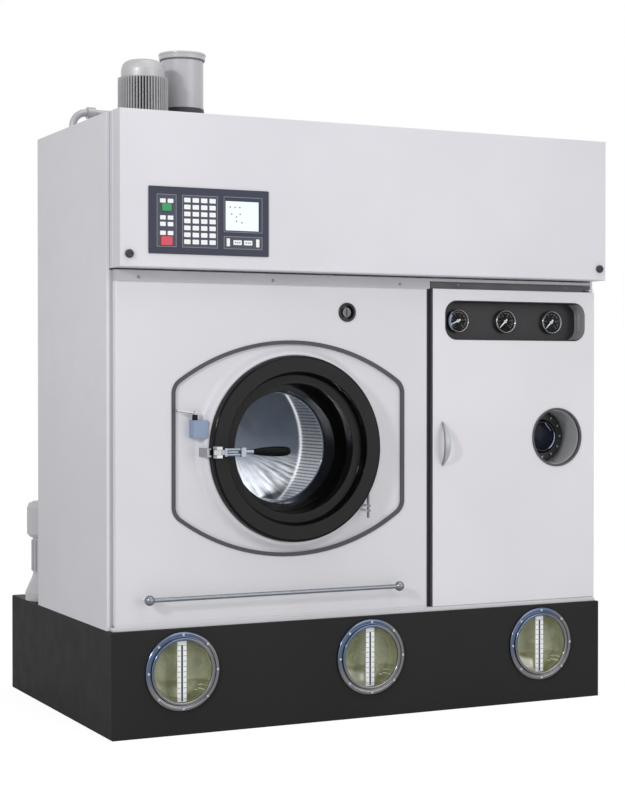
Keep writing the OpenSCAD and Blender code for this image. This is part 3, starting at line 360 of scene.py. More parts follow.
ring_black = finish("polished_black_moulding", moulded("050505", "0a0a0a", 0.08, 26.0, 0.3), specular=0.14)
ring_satin = finish("satin_black_ring_face", moulded("252525", "2a2a2a", 0.35, 9.0, 0.02), specular=0.1)
grip_black = finish("black_phenolic_grip", moulded("040405", "070708", 0.35), specular=0.1)
dark_plastic = finish("dark_grey_abs", moulded("444447", "4d4d50", 0.45, 0.8, 0.02))
tray_black = finish("dark_tray_moulding", moulded("2a2a2d", "303033", 0.35, 1.5, 0.02), specular=0.3)
tray_light = finish("lit_end_of_tray", moulded("98989c", "a4a4a8", 0.25, 1.5, 0.02))
dial_black = finish("matt_black_dial", moulded("040405", "09090b", 0.5), specular=0.2)
# Pale grey for the dials' print, and for a painted highlight in the gauges' tray.
print_and_highlight_grey = finish("pale_grey_print_and_painted_highlight", moulded("a9a9ac", "b6b6b8", 0.5))
port_glass = finish("tinted_port_glass", moulded("16181f", "262c3e", 0.12, 20.0, 0.02), specular=0.08)
fascia_slate = finish("slate_membrane", moulded("363948", "3b3f4f", 0.45), specular=0.3)
field_slate = finish("lighter_slate_field", moulded("474b58", "4e525f", 0.45), specular=0.3)
key_white = finish("white_membrane_key", moulded("f2f2f5", "fbfbfd", 0.3))
mark_grey = finish("grey_print", moulded("70727a", "7c7e86", 0.5))
line_silver = finish("silver_print_line", moulded("7a7d88", "858893", 0.4))
screen_blue = finish("lit_screen", moulded("cfe0f3", "f6faff", 0.25, 25.0),
                     extra={"Emission Color": linear("dcebf7"), "Emission Strength": 0.2})
scale_white = finish("white_scale_enamel", moulded("f4f4f2", "fbfbfa", 0.4))
scale_print = finish("grey_scale_print", moulded("a4a5a8", "aeafb2", 0.5))
slot_dark = finish("dark_slot", moulded("2c2e38", "343642", 0.5))
stem_black = finish("black_switch_stem", moulded("0e0e10", "161618", 0.4), specular=0.2)
start_green = finish("green_button", moulded("1c8c4e", "249a5a", 0.3))
stop_red = finish("red_button", moulded("cb3a4c", "d84658", 0.3))
pale_blue = finish("pale_blue_switch_case", moulded("8091ac", "8c9db8", 0.35))
pipe_grey = finish("grey_pvc_pipe", moulded("bebec2", "cacace", 0.22))
collar_shade_grey = finish("painted_shade_under_collar", moulded("5a5a5e", "646468", 0.5))
needle_white = finish("white_needle", moulded("efefec", "f8f8f5", 0.5))
warn_red = finish("red_dial_band", moulded("8e3a40", "9c444a", 0.5))
# Blue for the dial's band, and for a painted reflection on the first bezel.
blue_band_and_reflection = finish("blue_dial_band_and_painted_reflection", moulded("a4afd0", "b8c2de", 0.5))
trim_rubber = finish("grey_rubber_trim", moulded("454449", "4e4d52", 0.55, 1.5, 0.05))
dark_rubber = finish("dark_rubber", moulded("2a2a2e", "333338", 0.55, 1.5, 0.05))
glass = finish("clear_glass", lambda tree, place: {}, extra={
    "Base Color": linear("f4f8fa"), "Roughness": 0.02, "Alpha": 0.3, "Transmission Weight": 1.0, "IOR": 1.03})
print("finishes so far:", len(bpy.data.materials))

# %% [markdown]
# ## Which finish each solid gets
# Most of the solids already have their final shape, so only their surface changes here. Pieces that are
# modelled again further down take the same finishes.

# %% Give the solids their finishes
FINISHES = [
    (white_coat, "front_panel tub_front_plate level_scales interlock_arm"),
    (door_coat, "service_door"),
    (header_coat, "header_cover"),
    (side_shade_coat, "side_panels rear_panel roof_panel"),
    (rail_shade_coat, "front_rails"),
    (tank_enamel, "base_tank"),
    (frame_primer, "cabinet_frame"),
    (still_enamel_and_clamp_shade, "still_vessel"),
    (motor_enamel, "fan_motor drive_motor solvent_pump bearing_housing"),
    (lining, "sight_wells"),
    (drum_steel, "drum_shell drum_ends"),
    (tub_steel, "outer_tub fan_housing filter_housing"),
    (blued_steel, "port_bezel"),
    (lock_core, "port_lock"),
    (plain_steel, "hinge_pins latch_keeper motor_pulley drum_shaft switch_panel fan_impeller"),
    (chrome, "sight_flanges flange_bolts hand_rail latch_lever gauge_cases"),
    (satin_alloy, "latch_block bow_handle"),
    (pipe_metal, "roof_pipe"),
    (ring_black, "door_ring"),
    (grip_black, "latch_grip"),
    (dark_plastic, "gauge_pocket left_header_lock right_header_lock porthole_rim"),
    (fascia_slate, "control_fascia"),
    (key_white, "keypad"),
    (start_green, "start_button"),
    (stop_red, "stop_button"),
    (pale_blue, "interlock_switch"),
    (pipe_grey, "exhaust_duct"),
    (needle_white, "left_needle middle_needle right_needle"),
    (trim_rubber, "edge_trim"),
    (dark_rubber, "door_gasket duct_sleeve drive_belt"),
    (glass, "sight_glasses door_glass"),
]
for material, names in FINISHES:
    for name in names.split():
        for material_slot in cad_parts[name].material_slots:
            material_slot.material = material
        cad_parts[name]["dressed"] = 1
print("without a finish:", [n for n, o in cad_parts.items() if "dressed" not in o])

# %% [markdown]
# ## Floor, room and lamps
# The floor and the surroundings are white to the camera and in reflections. The floor keeps a weak shadow
# where the machine stands. The key lamp stands far to the left and above, which the shadows of the rail's
# balls and of the door ring give away: each falls to the right by about one and a half times its height
# above the panel. A broad soft fill lamp stands at the right, and the surroundings light all sides evenly.
# A small lamp behind the door's glass, out of its reflections, stands for the light that the bright steel
# would pass round the drum.


# %% Floor
def white_floor(name, shadow):
    """White to the camera, with the given share of real shading left in."""
    material = bpy.data.materials.new(name)
    tree = emptied(material)
    seen = add(tree, "LightPath").outputs["Is Camera Ray"]
    amount = add(tree, "Math", {0: seen, 1: 1 - shadow}, operation="MULTIPLY")
    plain = add(tree, "BsdfDiffuse", {"Color": (0.86, 0.86, 0.87, 1)})
    lit = add(tree, "Emission", {"Color": (1, 1, 1, 1), "Strength": 1.2})
    both = add(tree, "MixShader", {"Fac": amount, 1: plain, 2: lit})
    add(tree, "OutputMaterial", {"Surface": both})
    return material


bpy.ops.object.select_all(action="DESELECT")
bpy.ops.mesh.primitive_plane_add(size=40)
floor = bpy.context.active_object
floor.name = "floor"
floor.data.materials.append(white_floor("white_floor", 0.26))
print("floor:", tuple(floor.dimensions))

# %% Light from the surroundings
ROOM_LIGHT, ROOM_SEEN = 0.52, 1.0

world = bpy.data.worlds.new("room")
bpy.context.scene.world = world
sky = emptied(world)
path = add(sky, "LightPath").outputs
mirrored = add(sky, "Math", {0: path["Is Camera Ray"], 1: path["Is Glossy Ray"]}, operation="MAXIMUM")
through = add(sky, "Math", {0: mirrored, 1: path["Is Transmission Ray"]}, operation="MAXIMUM")
strength = add(sky, "MapRange", {"Value": through, "To Min": ROOM_LIGHT, "To Max": ROOM_SEEN})
room_light = add(sky, "Background", {"Color": (1, 1, 1, 1), "Strength": strength})
add(sky, "OutputWorld", {"Surface": room_light})


# %% Lamps
def soft_lamp(name, place, target, size, power):
    """A square area lamp aimed at a point, in metres and watts."""
    data = bpy.data.lights.new(name, "AREA")
    data.size = size
    data.energy = power
    made = bpy.data.objects.new(name, data)
    made.location = place
    made.rotation_euler = (Vector(target) - Vector(place)).to_track_quat("-Z", "Y").to_euler()
    bpy.context.scene.collection.objects.link(made)
    print(name, power, "W")
    return made


soft_lamp("key_lamp", (-4.2, -2.9, 2.4), (-0.2, -0.4, 0.7), 0.5, 65)
soft_lamp("fill_lamp", (2.2, -5.5, 1.6), (0.0, -0.4, 0.8), 3.0, 44)
soft_lamp("top_lamp", (0.4, -1.6, 4.2), (0, -0.2, 1.0), 2.5, 28)
drum_lamp = soft_lamp("drum_lamp", (-0.205, -0.266, 0.522), (-0.19, -0.01, 0.55), 0.04, 1.8)
drum_lamp.visible_glossy = False

# %% [markdown]
# ## Small helpers for modelling
# A new piece starts as a primitive or a copy of a solid, is shaped in edit mode, and is finished by `keep`,
# which gives it its smooth shading, its material and the body that it moves with.


# %% Choosing and shaping
def fresh():
    """Leaves edit mode and deselects everything."""
    if bpy.context.mode != "OBJECT":
        bpy.ops.object.mode_set(mode="OBJECT")
    bpy.ops.object.select_all(action="DESELECT")


def edit():
    """Opens the active object for editing with everything selected."""
    bpy.ops.object.mode_set(mode="EDIT")
    bpy.ops.mesh.select_mode(type="VERT")
    bpy.ops.mesh.select_all(action="SELECT")


def pick(kind, test):
    """Selects the vertices, edges or faces that pass the test."""
    bpy.ops.mesh.select_mode(type=kind)
    bpy.ops.mesh.select_all(action="DESELECT")
    data = bpy.context.edit_object.data
    mesh = bmesh.from_edit_mesh(data)
    for part in {"VERT": mesh.verts, "EDGE": mesh.edges, "FACE": mesh.faces}[kind]:
        if test(part):
            part.select_set(True)
    bmesh.update_edit_mesh(data)


def middle(edge):
    """The middle of an edge, in mm."""
    return (edge.verts[0].co + edge.verts[1].co) / 2 / MM


def sharp(edge, angle=40):
    """True for an edge between two faces that meet at more than the angle."""
    return len(edge.link_faces) == 2 and edge.calc_face_angle() > math.radians(angle)


def soften(test, width, steps=3):
    """Rounds the sharp edges that pass the test, with a radius in mm."""
    pick("EDGE", lambda edge: sharp(edge) and test(middle(edge)))
    bpy.ops.mesh.bevel(offset=width * MM, segments=steps, affect="EDGES", clamp_overlap=True)


def turn_all(degrees, centre):
    """Turns everything in edit mode about an axis along Y through a point in mm."""
    bpy.ops.mesh.select_all(action="SELECT")
    bpy.ops.transform.rotate(value=math.radians(degrees), orient_axis="Y", orient_type="GLOBAL",
                             center_override=Vector(centre) * MM)


def modify(kind, **settings):
    """Adds a modifier to the active object and applies it."""
    made = bpy.context.object.modifiers.new(kind.lower(), kind)
    for name, value in settings.items():
        setattr(made, name, value)
    bpy.ops.object.modifier_apply(modifier=made.name)


def break_edges(width, steps=2, angle=40):
    """Rounds all edges of the active object that are sharper than the angle, by width in mm."""
    bpy.ops.object.mode_set(mode="OBJECT")
    modify("BEVEL", width=width * MM, segments=steps, limit_method="ANGLE", angle_limit=math.radians(angle))


# %% Finishing, copying and joining
def keep(name, material, body, nodes=(), smooth=35, flat=False):
    """Finishes the active object as a piece of the machine."""
    if bpy.context.mode != "OBJECT":
        bpy.ops.object.mode_set(mode="OBJECT")
    piece = bpy.context.object
    bpy.ops.object.transform_apply(location=True, rotation=True, scale=True)
    if not flat:
        bpy.ops.object.shade_smooth_by_angle(angle=math.radians(smooth))
    piece.name = name
    piece.data.materials.clear()
    piece.data.materials.append(material)
    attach(piece, body)
    if nodes:
        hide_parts(*nodes)
    print(name, len(piece.data.polygons), "faces")
    return piece


def copy_of(node):
    """A new object in edit mode with a solid's shape, its doubles merged and its flat areas made whole."""
    fresh()
    made = bpy.data.objects.new(node + "_copy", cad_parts[node].data.copy())
    bpy.context.scene.collection.objects.link(made)
    made.select_set(True)
    bpy.context.view_layer.objects.active = made
    bpy.ops.mesh.customdata_custom_splitnormals_clear()
    edit()
    bpy.ops.mesh.remove_doubles(threshold=0.002 * MM)
    bpy.ops.mesh.dissolve_limited(angle_limit=math.radians(0.3))
    return made


def join(*pieces):
    """Joins finished shapes to one object."""
    fresh()
    for one in pieces:
        one.select_set(True)
    bpy.context.view_layer.objects.active = pieces[0]
    bpy.ops.object.join()
    return pieces[0]


def repeat(moves):
    """Copies the active object, each copy moved by mm from the first, and joins them all."""
    if bpy.context.mode != "OBJECT":
        bpy.ops.object.mode_set(mode="OBJECT")
    first = bpy.context.object
    made = [first]
    for move in moves:
        fresh()
        first.select_set(True)
        bpy.context.view_layer.objects.active = first
        bpy.ops.object.duplicate(linked=False)
        bpy.ops.transform.translate(value=Vector(move) * MM)
        made.append(bpy.context.object)
    return join(*made)


def paint(piece, material, test):
    """Gives a second material to the faces whose middle in mm, and normal, pass the test."""
    piece.data.materials.append(material)
    index = len(piece.data.materials) - 1
    for face in piece.data.polygons:
        if test(face.center / MM, face.normal):
            face.material_index = index


# %% Boxes and turned shapes
def block(x0, x1, y0, y1, z0, z1, radius=0.0, steps=3):
    """A box between two corners, in mm, with rounded edges. It is left in edit mode."""
    fresh()
    place = Vector((x0 + x1, y0 + y1, z0 + z1)) / 2 * MM
    bpy.ops.mesh.primitive_cube_add(size=MM, location=place)
    bpy.context.object.scale = (x1 - x0, y1 - y0, z1 - z0)
    bpy.ops.object.transform_apply(location=True, rotation=True, scale=True)
    edit()
    if radius:
        bpy.ops.mesh.bevel(offset=radius * MM, segments=steps, affect="EDGES", clamp_overlap=True)
    return bpy.context.object


def turned(profile, centre, axis="Y", steps=96, closed=True):
    """Spins a profile about the axis X, Y or Z through centre. Its points are (radius, place), in mm."""
    fresh()
    bpy.ops.mesh.primitive_plane_add(size=1)
    edit()
    bpy.ops.mesh.merge(type="CENTER")

    def point(radius, place):
        at = {"X": (place, radius, 0), "Y": (radius, place, 0), "Z": (radius, 0, place)}[axis]
        return (Vector(at) + Vector(centre)) * MM

    points = [point(*p) for p in profile] + ([point(*profile[0])] if closed else [])
    bpy.ops.transform.translate(value=points[0])
    for before, after in zip(points, points[1:]):
        bpy.ops.mesh.extrude_vertices_move(TRANSFORM_OT_translate={"value": after - before})
    bpy.ops.mesh.select_all(action="SELECT")
    bpy.ops.mesh.spin(steps=steps, angle=math.radians(360), center=Vector(centre) * MM,
                      axis={"X": (1, 0, 0), "Y": (0, 1, 0), "Z": (0, 0, 1)}[axis])
    bpy.ops.mesh.select_all(action="SELECT")
    bpy.ops.mesh.remove_doubles(threshold=0.001 * MM)
    bpy.ops.mesh.normals_make_consistent(inside=False)
    return bpy.context.object


def rounded(corners, radius=2.0, steps=3):
    """A profile for turned() with its corners replaced by small arcs. Points are (radius, place), in mm."""
    points = []
    for i, here in enumerate(corners):
        before, after = Vector(corners[i - 1]), Vector(corners[(i + 1) % len(corners)])
        here = Vector(here)
        reach = min(radius, (before - here).length * 0.45, (after - here).length * 0.45)
        if here.x < 0.01 or reach < 0.05:
            points.append(tuple(here))
            continue
        start, end = here + (before - here).normalized() * reach, here + (after - here).normalized() * reach
        for k in range(steps + 1):
            t = k / steps
            points.append(tuple(start * (1 - t) ** 2 + here * 2 * t * (1 - t) + end * t ** 2))
    return points


def from_plane(y, points):
    """A profile for turned() whose places are counted from the plane y."""
    return [(radius, y + place) for radius, place in points]


def bead(far, deep, radius):
    """The round section of a ring at the distance far from its axis, for turned()."""
    turns = [k * math.pi / 5 for k in range(10)]
    return [(far + radius * math.cos(a), deep + radius * math.sin(a)) for a in turns]


# %% [markdown]
# ## Folded and machined edges
# No real edge is knife sharp. A folded sheet has a bend radius of about its thickness, and a sawn or cast
# part is broken by a file, so each shows a thin line of light. The solids have sharp edges, so a copy of
# each visible one gets a narrow bevel, with its flat faces kept flat by weighted normals.


# %% Soft-edged copies of the solids
def softened(node, width, material, body, steps=2, angle=40, paints=()):
    """A copy of a solid with all of its sharp edges rounded by width, in mm. It then stands for the solid."""
    copy_of(node)
    break_edges(width, steps, angle)
    piece = keep(node + "_soft", material, body, (node,), smooth=45)
    modify("WEIGHTED_NORMAL", keep_sharp=True, weight=60)
    for second, test in paints:
        paint(piece, second, test)
    return piece


def shaped(node, width, test, material, body, steps=4):
    """A copy of a solid with only the chosen sharp edges rounded, by width in mm."""
    copy_of(node)
    soften(test, width, steps)
    piece = keep(node + "_shaped", material, body, (node,), smooth=45)
    modify("WEIGHTED_NORMAL", keep_sharp=True, weight=60)
    return piece


def front_border(box, top):
    """A test for the edges on the front of a folded sheet that lie along its border."""
    def on_border(m):
        side = m.x < box.x0 + 1 or m.x > box.x1 - 1
        return m.y < box.y0 + 0.5 and (side or m.z < box.z0 + 1 or m.z > top - 1)
    return on_border


# %% Panels, door, cover and tank
COVER_TOP = 1556
panel, bay, header = Box("front_panel"), Box("service_door"), Box("header_cover")

# The outer folds have a wide bend, and the hidden inner edges stay as they are
shaped("front_panel", 5, front_border(panel, panel.z1), white_coat, "machine")
bay_door = shaped("service_door", 3, front_border(bay, bay.z1), door_coat, "service_door")
# The door's left side, deep in the gap, is painted grey as painted shade.
paint(bay_door, gap_shade_grey, lambda m, n: n.x < -0.9 and m.x < bay.x0 + 1.5)
cover = shaped("header_cover", 2.5, front_border(header, COVER_TOP), header_coat, "header_cover")
# The cover's two sides are painted greyer, as painted shade.
paint(cover, cover_side_shade, lambda m, n: abs(n.x) > 0.7)


def tank_edge(m):
    """The edges at the tank's two ends, and along the top of its front and back."""
    at_front_or_back = abs(m.y) > tank.y1 - 0.5
    return abs(m.x) > tank.x1 - 0.5 or (at_front_or_back and m.z > tank.z1 - 0.5)


shaped("base_tank", 3, tank_edge, tank_enamel, "machine")

# %% Rails and sides
RECESS_LEFT, RECESS_LOW, RECESS_HIGH = 190, 1138, 1157.3
RAIL_FACE, SILL_HIGH = -397, 278

# The rails under the cover are grey as painted shade from its overhang.
softened("front_rails", 0.6, rail_shade_coat, "machine", paints=[
    # Painted shade: the recessed rail above the service door is dark grey.
    (recess_shade_coat, lambda m, n: m.x > RECESS_LEFT and RECESS_LOW < m.z < RECESS_HIGH and m.y > RAIL_FACE),
    (sill_coat, lambda m, n: m.z < SILL_HIGH)])
# The sides get the greyer coat as painted shade, and their front lips the lighter front coat.
softened("side_panels", 0.6, side_shade_coat, "machine", paints=[
    (header_coat, lambda m, n: m.y < -395 and n.y < -0.3)])

# %% [markdown]
# ## The drum
# The drum is a rolled stainless shell with rows of slits, closed at the back by a brushed disc, and a
# polished weld with a painted glow joins the two. Thousands of modelled slits would be slow, so they are
# drawn by the material as dark painted shade, in cells counted round the axis, and the shell is painted
# brighter low down as painted light. The disc was brushed by hand in strokes from its centre; its rays are
# painted bright in its lower half and dark slate above, as painted light and shade.

# %% Drum finishes
AXIS = (ring.x, ring.z)
SLITS_ROUND, SLIT_PITCH = 150, 30
RAYS_ROUND, RAYS_OUT = 26.0, 9.0


def around(tree, place):
    """The angle round the drum's axis, the distance from it, the depth and the height above it."""
    centred = add(tree, "Mapping", {"Vector": place, "Location": (-AXIS[0] * MM, 0, -AXIS[1] * MM)})
    parts = add(tree, "SeparateXYZ", {"Vector": centred}).outputs
    turn = add(tree, "Math", {0: parts["Z"], 1: parts["X"]}, operation="ARCTAN2")
    flat = add(tree, "CombineXYZ", {"X": parts["X"], "Z": parts["Z"]})
    far = add(tree, "VectorMath", {0: flat}, operation="LENGTH").outputs["Value"]
    return turn, far, parts["Y"], parts["Z"]


def perforated(tree, place):
    """Slits of about 28 by 3.5 mm in rows round the drum, drawn dark as painted shade, in brushed steel that
    is painted brighter low down as painted light.
    """
    turn, far, deep, height = around(tree, place)
    across = add(tree, "Math", {0: turn, 1: SLITS_ROUND / (2 * math.pi)}, operation="MULTIPLY")
    along = add(tree, "Math", {0: deep, 1: 1 / (SLIT_PITCH * MM)}, operation="MULTIPLY")
    cells = add(tree, "CombineXYZ", {"X": across, "Y": along})
    inside = add(tree, "VectorMath", {0: cells}, operation="FRACTION")
    from_middle = add(tree, "VectorMath", {0: inside, 1: (0.5, 0.5, 0)}, operation="SUBTRACT")
    folded = add(tree, "VectorMath", {0: from_middle}, operation="ABSOLUTE")
    reach = add(tree, "SeparateXYZ", {"Vector": folded}).outputs
    beside = add(tree, "MapRange", {"Value": reach["X"], "From Min": 0.16, "From Max": 0.24})
    beyond = add(tree, "MapRange", {"Value": reach["Y"], "From Min": 0.45, "From Max": 0.5})
    solid = add(tree, "Math", {0: beside, 1: beyond}, operation="MAXIMUM")
    # Painted light: the steel and the slits are lighter towards the bottom of the drum.
    low = add(tree, "MapRange", {"Value": height, "From Min": 0.06, "From Max": -0.15})
    steel = add(tree, "MixRGB", {"Fac": low, **hues("9a9ea4", "fafbfd")})
    slit = add(tree, "MixRGB", {"Fac": low, **hues("50535a", "94979c")})
    return {
        "Base Color": add(tree, "MixRGB", {"Fac": solid, "Color1": slit, "Color2": steel}),
        "Roughness": blotches(tree, place, 3, 0.25, 0.4),
        "Normal": add(tree, "Bump", {"Height": solid, "Strength": 1.0, "Distance": 0.6 * MM}),
    }


def brushed_disc_painted_light(tree, place):
    """Brushed rays from the centre, painted bright in the lower half and dark slate above, as painted light
    and shade.
    """
    turn, far, deep, height = around(tree, place)
    ray = add(tree, "CombineXYZ", {"X": add(tree, "Math", {0: turn, 1: RAYS_ROUND}, operation="MULTIPLY"),
                                   "Y": add(tree, "Math", {0: far, 1: RAYS_OUT}, operation="MULTIPLY")})
    strokes = add(tree, "TexNoise", {"Vector": ray, "Scale": 1.0, "Detail": 4.0, "Roughness": 0.7})
    bright = add(tree, "MapRange", {"Value": strokes, "From Min": 0.4, "From Max": 0.62})
    # Painted light: the bright rays are kept only below the axis, and the rest is dark slate as painted
    # shade.
    low = add(tree, "MapRange", {"Value": height, "From Min": -0.02, "From Max": -0.09})
    rays = add(tree, "Math", {0: bright, 1: low}, operation="MULTIPLY")
    slate = add(tree, "MixRGB", {"Fac": blotches(tree, place, 90), **hues("535965", "616974")})
    return {
        "Base Color": add(tree, "MixRGB", {"Fac": rays, "Color1": slate, "Color2": linear("f4f6fa")}),
        "Roughness": add(tree, "MapRange", {"Value": strokes, **NOISE_SPAN, "To Min": 0.42, "To Max": 0.52}),
    }


slit_steel = finish("perforated_stainless", perforated, 0.55)
disc_steel = finish("brushed_stainless_painted_light", brushed_disc_painted_light, 0.3)

# %% Drum wall
DRUM_CENTRE = (AXIS[0], 0, AXIS[1])
WALL_R, WALL_FRONT, WALL_BACK, WALL_THICK = 227, -284, -3, 2

turned([(WALL_R, WALL_FRONT), (WALL_R, WALL_BACK), (WALL_R - WALL_THICK, WALL_BACK),
        (WALL_R - WALL_THICK, WALL_FRONT)], DRUM_CENTRE, steps=128)
keep("drum_wall", slit_steel, "drum", ("drum_shell",), smooth=30)


# %% Drum ends, disc and the weld
def off_axis(m):
    """The distance from the drum's axis, in mm."""
    return math.hypot(m.x - AXIS[0], m.z - AXIS[1])


PLATE_BACK, DISC_R = -17, 222

copy_of("drum_ends")
break_edges(1.2, angle=35)
ends = keep("drum_plates", drum_steel, "drum", ("drum_ends",), smooth=40)
paint(ends, disc_steel, lambda m, n: m.y > PLATE_BACK and off_axis(m) < DISC_R)

dish = [(0, -15.8), (60, -15.8), (90, -6.8), (221, -6.8), (221, -6.2), (90, -6.2), (60, -15.2), (0, -15.2)]
turned(rounded(dish, 0.2, 1), DRUM_CENTRE, steps=128)
keep("drum_disc", disc_steel, "drum", smooth=20)
turned(bead(222.6, -8.2, 2.2), DRUM_CENTRE, steps=160)
keep("drum_weld", weld_glow_steel, "drum", smooth=80)

# %% [markdown]
# ## The loading door
# The ring is one glossy black moulding that steps inwards to a short tunnel with the glass at its end. Its
# face is rubbed to a satin, and its edges are rounded a little, which draws the thin bright circles in the
# tunnel. The lever is a pair of plated bars on a cast block, and it hooks behind a fixed keeper.

# %% Door ring and latch
RING_FACE, RING_BACK_R = -430, 225
LEVER_HUB = -452

softened("door_ring", 1.2, ring_black, "loading_door", steps=3, angle=50, paints=[
    (ring_satin, lambda m, n: n.y < -0.9 and m.y < RING_FACE),
    (stem_black, lambda m, n: n.y > -0.5 and off_axis(m) > RING_BACK_R)])
turned(bead(145, -309.5, 1.8), DRUM_CENTRE, steps=128)
keep("sleeve_bead", clamp_steel, "loading_door", smooth=80)
softened("latch_block", 0.9, satin_alloy, "loading_door")
softened("latch_lever", 0.8, lever_plate, "latch_lever", paints=[
    (satin_alloy, lambda m, n: m.x < LEVER_HUB)])

# A thin plate ties the lever's two bars
block(-437, -398, -476.5, -475, 707.6, 712.4, 0.5)
keep("lever_tie_plate", lever_plate, "latch_lever")
softened("latch_keeper", 0.8, cast_metal, "machine")

# %% Bow handle
BOW_BORDER = 3.4
BOW_CENTRE, BOW_INNER_R = (449.2, 719), 233.6

# The left edge is rolled, so the front gets a border strip, painted darker at the left as painted shade
copy_of("bow_handle")
break_edges(0.8)
edit()
pick("FACE", lambda face: face.normal.y < -0.2 and abs(face.normal.x) < 0.3 and face.calc_area() > 4e-6)
bpy.ops.mesh.inset(thickness=BOW_BORDER * MM)
bow = keep("bow_handle_shaped", bow_alloy, "service_door", ("bow_handle",), smooth=45)


def shaded_rolled_edge(m, n):
    """The handle's left side, and the strip of its front outside the arc of its border, painted darker as
    painted shade.
    """
    outside = math.hypot(m.x - BOW_CENTRE[0], m.z - BOW_CENTRE[1]) > BOW_INNER_R
    return n.x < -0.2 or (n.y < -0.2 and outside)


paint(bow, bow_edge_shade, shaded_rolled_edge)


# %% Hinge pins and the door's interlock
ROD_X, ROD_R, LUG_FRONT = -23, 4, -448
BAY_PINS_LEFT, COVER_PINS_LOW = 600, 1500
STEM_X, STEM_HALF, STEM_LOW = -503, 7.2, 790.6


def white_pin(m, n):
    """The pins of the cover and the service door, and the lugs of the loading door's rod, are painted."""
    lug_side = abs(n.z) < 0.9 and abs(m.x - ROD_X) > ROD_R
    lug_end = abs(n.z) > 0.9 and m.y > LUG_FRONT
    return m.x > BAY_PINS_LEFT or m.z > COVER_PINS_LOW or (m.x < 0 and (lug_side or lug_end))


softened("hinge_pins", 0.3, rod_steel_and_arm_shade, "machine", paints=[(white_coat, white_pin)])
# The arm's underside and left end are painted dark grey, as painted shade outlining the white arm.
softened("interlock_arm", 0.6, white_coat, "interlock_arm", paints=[
    (rod_steel_and_arm_shade, lambda m, n: n.x < -0.6 or n.z < -0.6)])
softened("interlock_switch", 1.0, pale_blue, "machine", paints=[
    (stem_black, lambda m, n: m.z > STEM_LOW and abs(m.x - STEM_X) < STEM_HALF)])

# %% [markdown]
# ## Sight glasses of the tank
# Each sight glass is clamped between the tank and a plated flange with a turned groove, and eight small cap
# bolts hold the flange. Behind it lies the painted inside of the tank, with a white level scale in front of
# it. The shapes are turned from their profiles as on a lathe, once for the first glass, and then copied.

# %% Flanges and wells
GLASS_X = (-538, -4, 527)
GLASS_Z = Box("sight_flanges").z
BASE_Y = tank.y0
FIRST_GLASS = (GLASS_X[0], 0, GLASS_Z)
glass_steps = [(x - GLASS_X[0], 0, 0) for x in GLASS_X[1:]]

flange = from_plane(BASE_Y, [
    (86, 0), (99.5, 0), (99.5, -6), (97, -8), (90, -8), (89, -4.5), (86.6, -4.5), (85.4, -9), (84, -11),
    (79.4, -11), (77.8, -9), (77.8, -4), (86, -4)])
turned(rounded(flange, 0.8, 2), FIRST_GLASS, steps=128)
repeat(glass_steps)
keep("glass_flanges", flange_plate, "machine", ("sight_flanges",), smooth=30)

well = from_plane(BASE_Y, [
    (0, 45), (81.8, 45), (81.8, 0), (79.5, 0), (79.5, 25), (70, 40), (40, 43), (0, 43)])
turned(rounded(well, 5, 4), FIRST_GLASS)
repeat(glass_steps)
keep("tank_wells", lining, "machine", ("sight_wells",), smooth=30)

# %% Level scales with their marks
SCALE_FRONT = BASE_Y + 1
TICK_PITCH, TICKS_EACH_WAY = 13.4, 5

block(GLASS_X[0] - 12.4, GLASS_X[0] + 12.4, SCALE_FRONT, BASE_Y + 3, GLASS_Z - 78, GLASS_Z + 78, 0.4, 2)
repeat(glass_steps)
keep("white_scales", scale_white, "machine", ("level_scales",), smooth=40)


def marks(piece_name, boxes, material, body, lift=0.3):
    """Thin printed marks: one small raised plate for each (x0, x1, y, z0, z1), standing on the plane y."""
    made = []
    for x0, x1, y, z0, z1 in boxes:
        made.append(block(x0, x1, y - lift, y + 0.05, z0, z1, radius=lift * 0.4, steps=1))
    join(*made)
    return keep(piece_name, material, body)


ticks = []
for x in GLASS_X:
    for i in range(-TICKS_EACH_WAY, TICKS_EACH_WAY + 1):
        z = GLASS_Z - 3 + i * TICK_PITCH
        for near, far in ((-12.2, -4), (4, 12.2)):
            ticks.append((x + near, x + far, SCALE_FRONT, z, z + 1.8))
marks("scale_marks", ticks, scale_print, "machine")
slots = [(x - 2.5, x + 2.5, SCALE_FRONT, GLASS_Z - 76, GLASS_Z + 66) for x in GLASS_X]
marks("scale_slots", slots, slot_dark, "machine", 0.2)

# %% Bolts and screws
BOLT_RING = 93
PORT_BOLT_RING = 58.5
port = Box("porthole_rim")


def on_circle(radius, count):
    """The moves in mm from the rightmost place on a circle to each of its places, the first of them zero."""
    turns = [k * 2 * math.pi / count for k in range(count)]
    return [(radius * (math.cos(a) - 1), 0, radius * math.sin(a)) for a in turns]


# Eight cap bolts with a socket, on each of the three flanges
turned(rounded([(0, 0), (3.3, 0), (3.3, -2.6), (2.7, -3.3), (1.6, -3.3), (1.5, -1.6), (0, -1.6)], 0.4, 2),
       (GLASS_X[0] + BOLT_RING, BASE_Y - 8, GLASS_Z), steps=12)
bolt_moves = [(x - GLASS_X[0] + dx, dy, dz) for x in GLASS_X for dx, dy, dz in on_circle(BOLT_RING, 8)]
repeat(bolt_moves[1:])
keep("flange_cap_bolts", bolt_steel, "machine", ("flange_bolts",), smooth=30)

# Three screws in the left rail and two in the right one, which stands further back
turned(rounded([(0, 0), (4, 0), (4, -1), (2.6, -2), (0, -2)], 0.5, 2), (-648, -417, 1147), steps=20)
repeat([(367, 0, 0), (740, 0, 0), (931, 21, 3), (1280, 21, 3)])
keep("rail_screws", screw_steel, "machine", smooth=30)

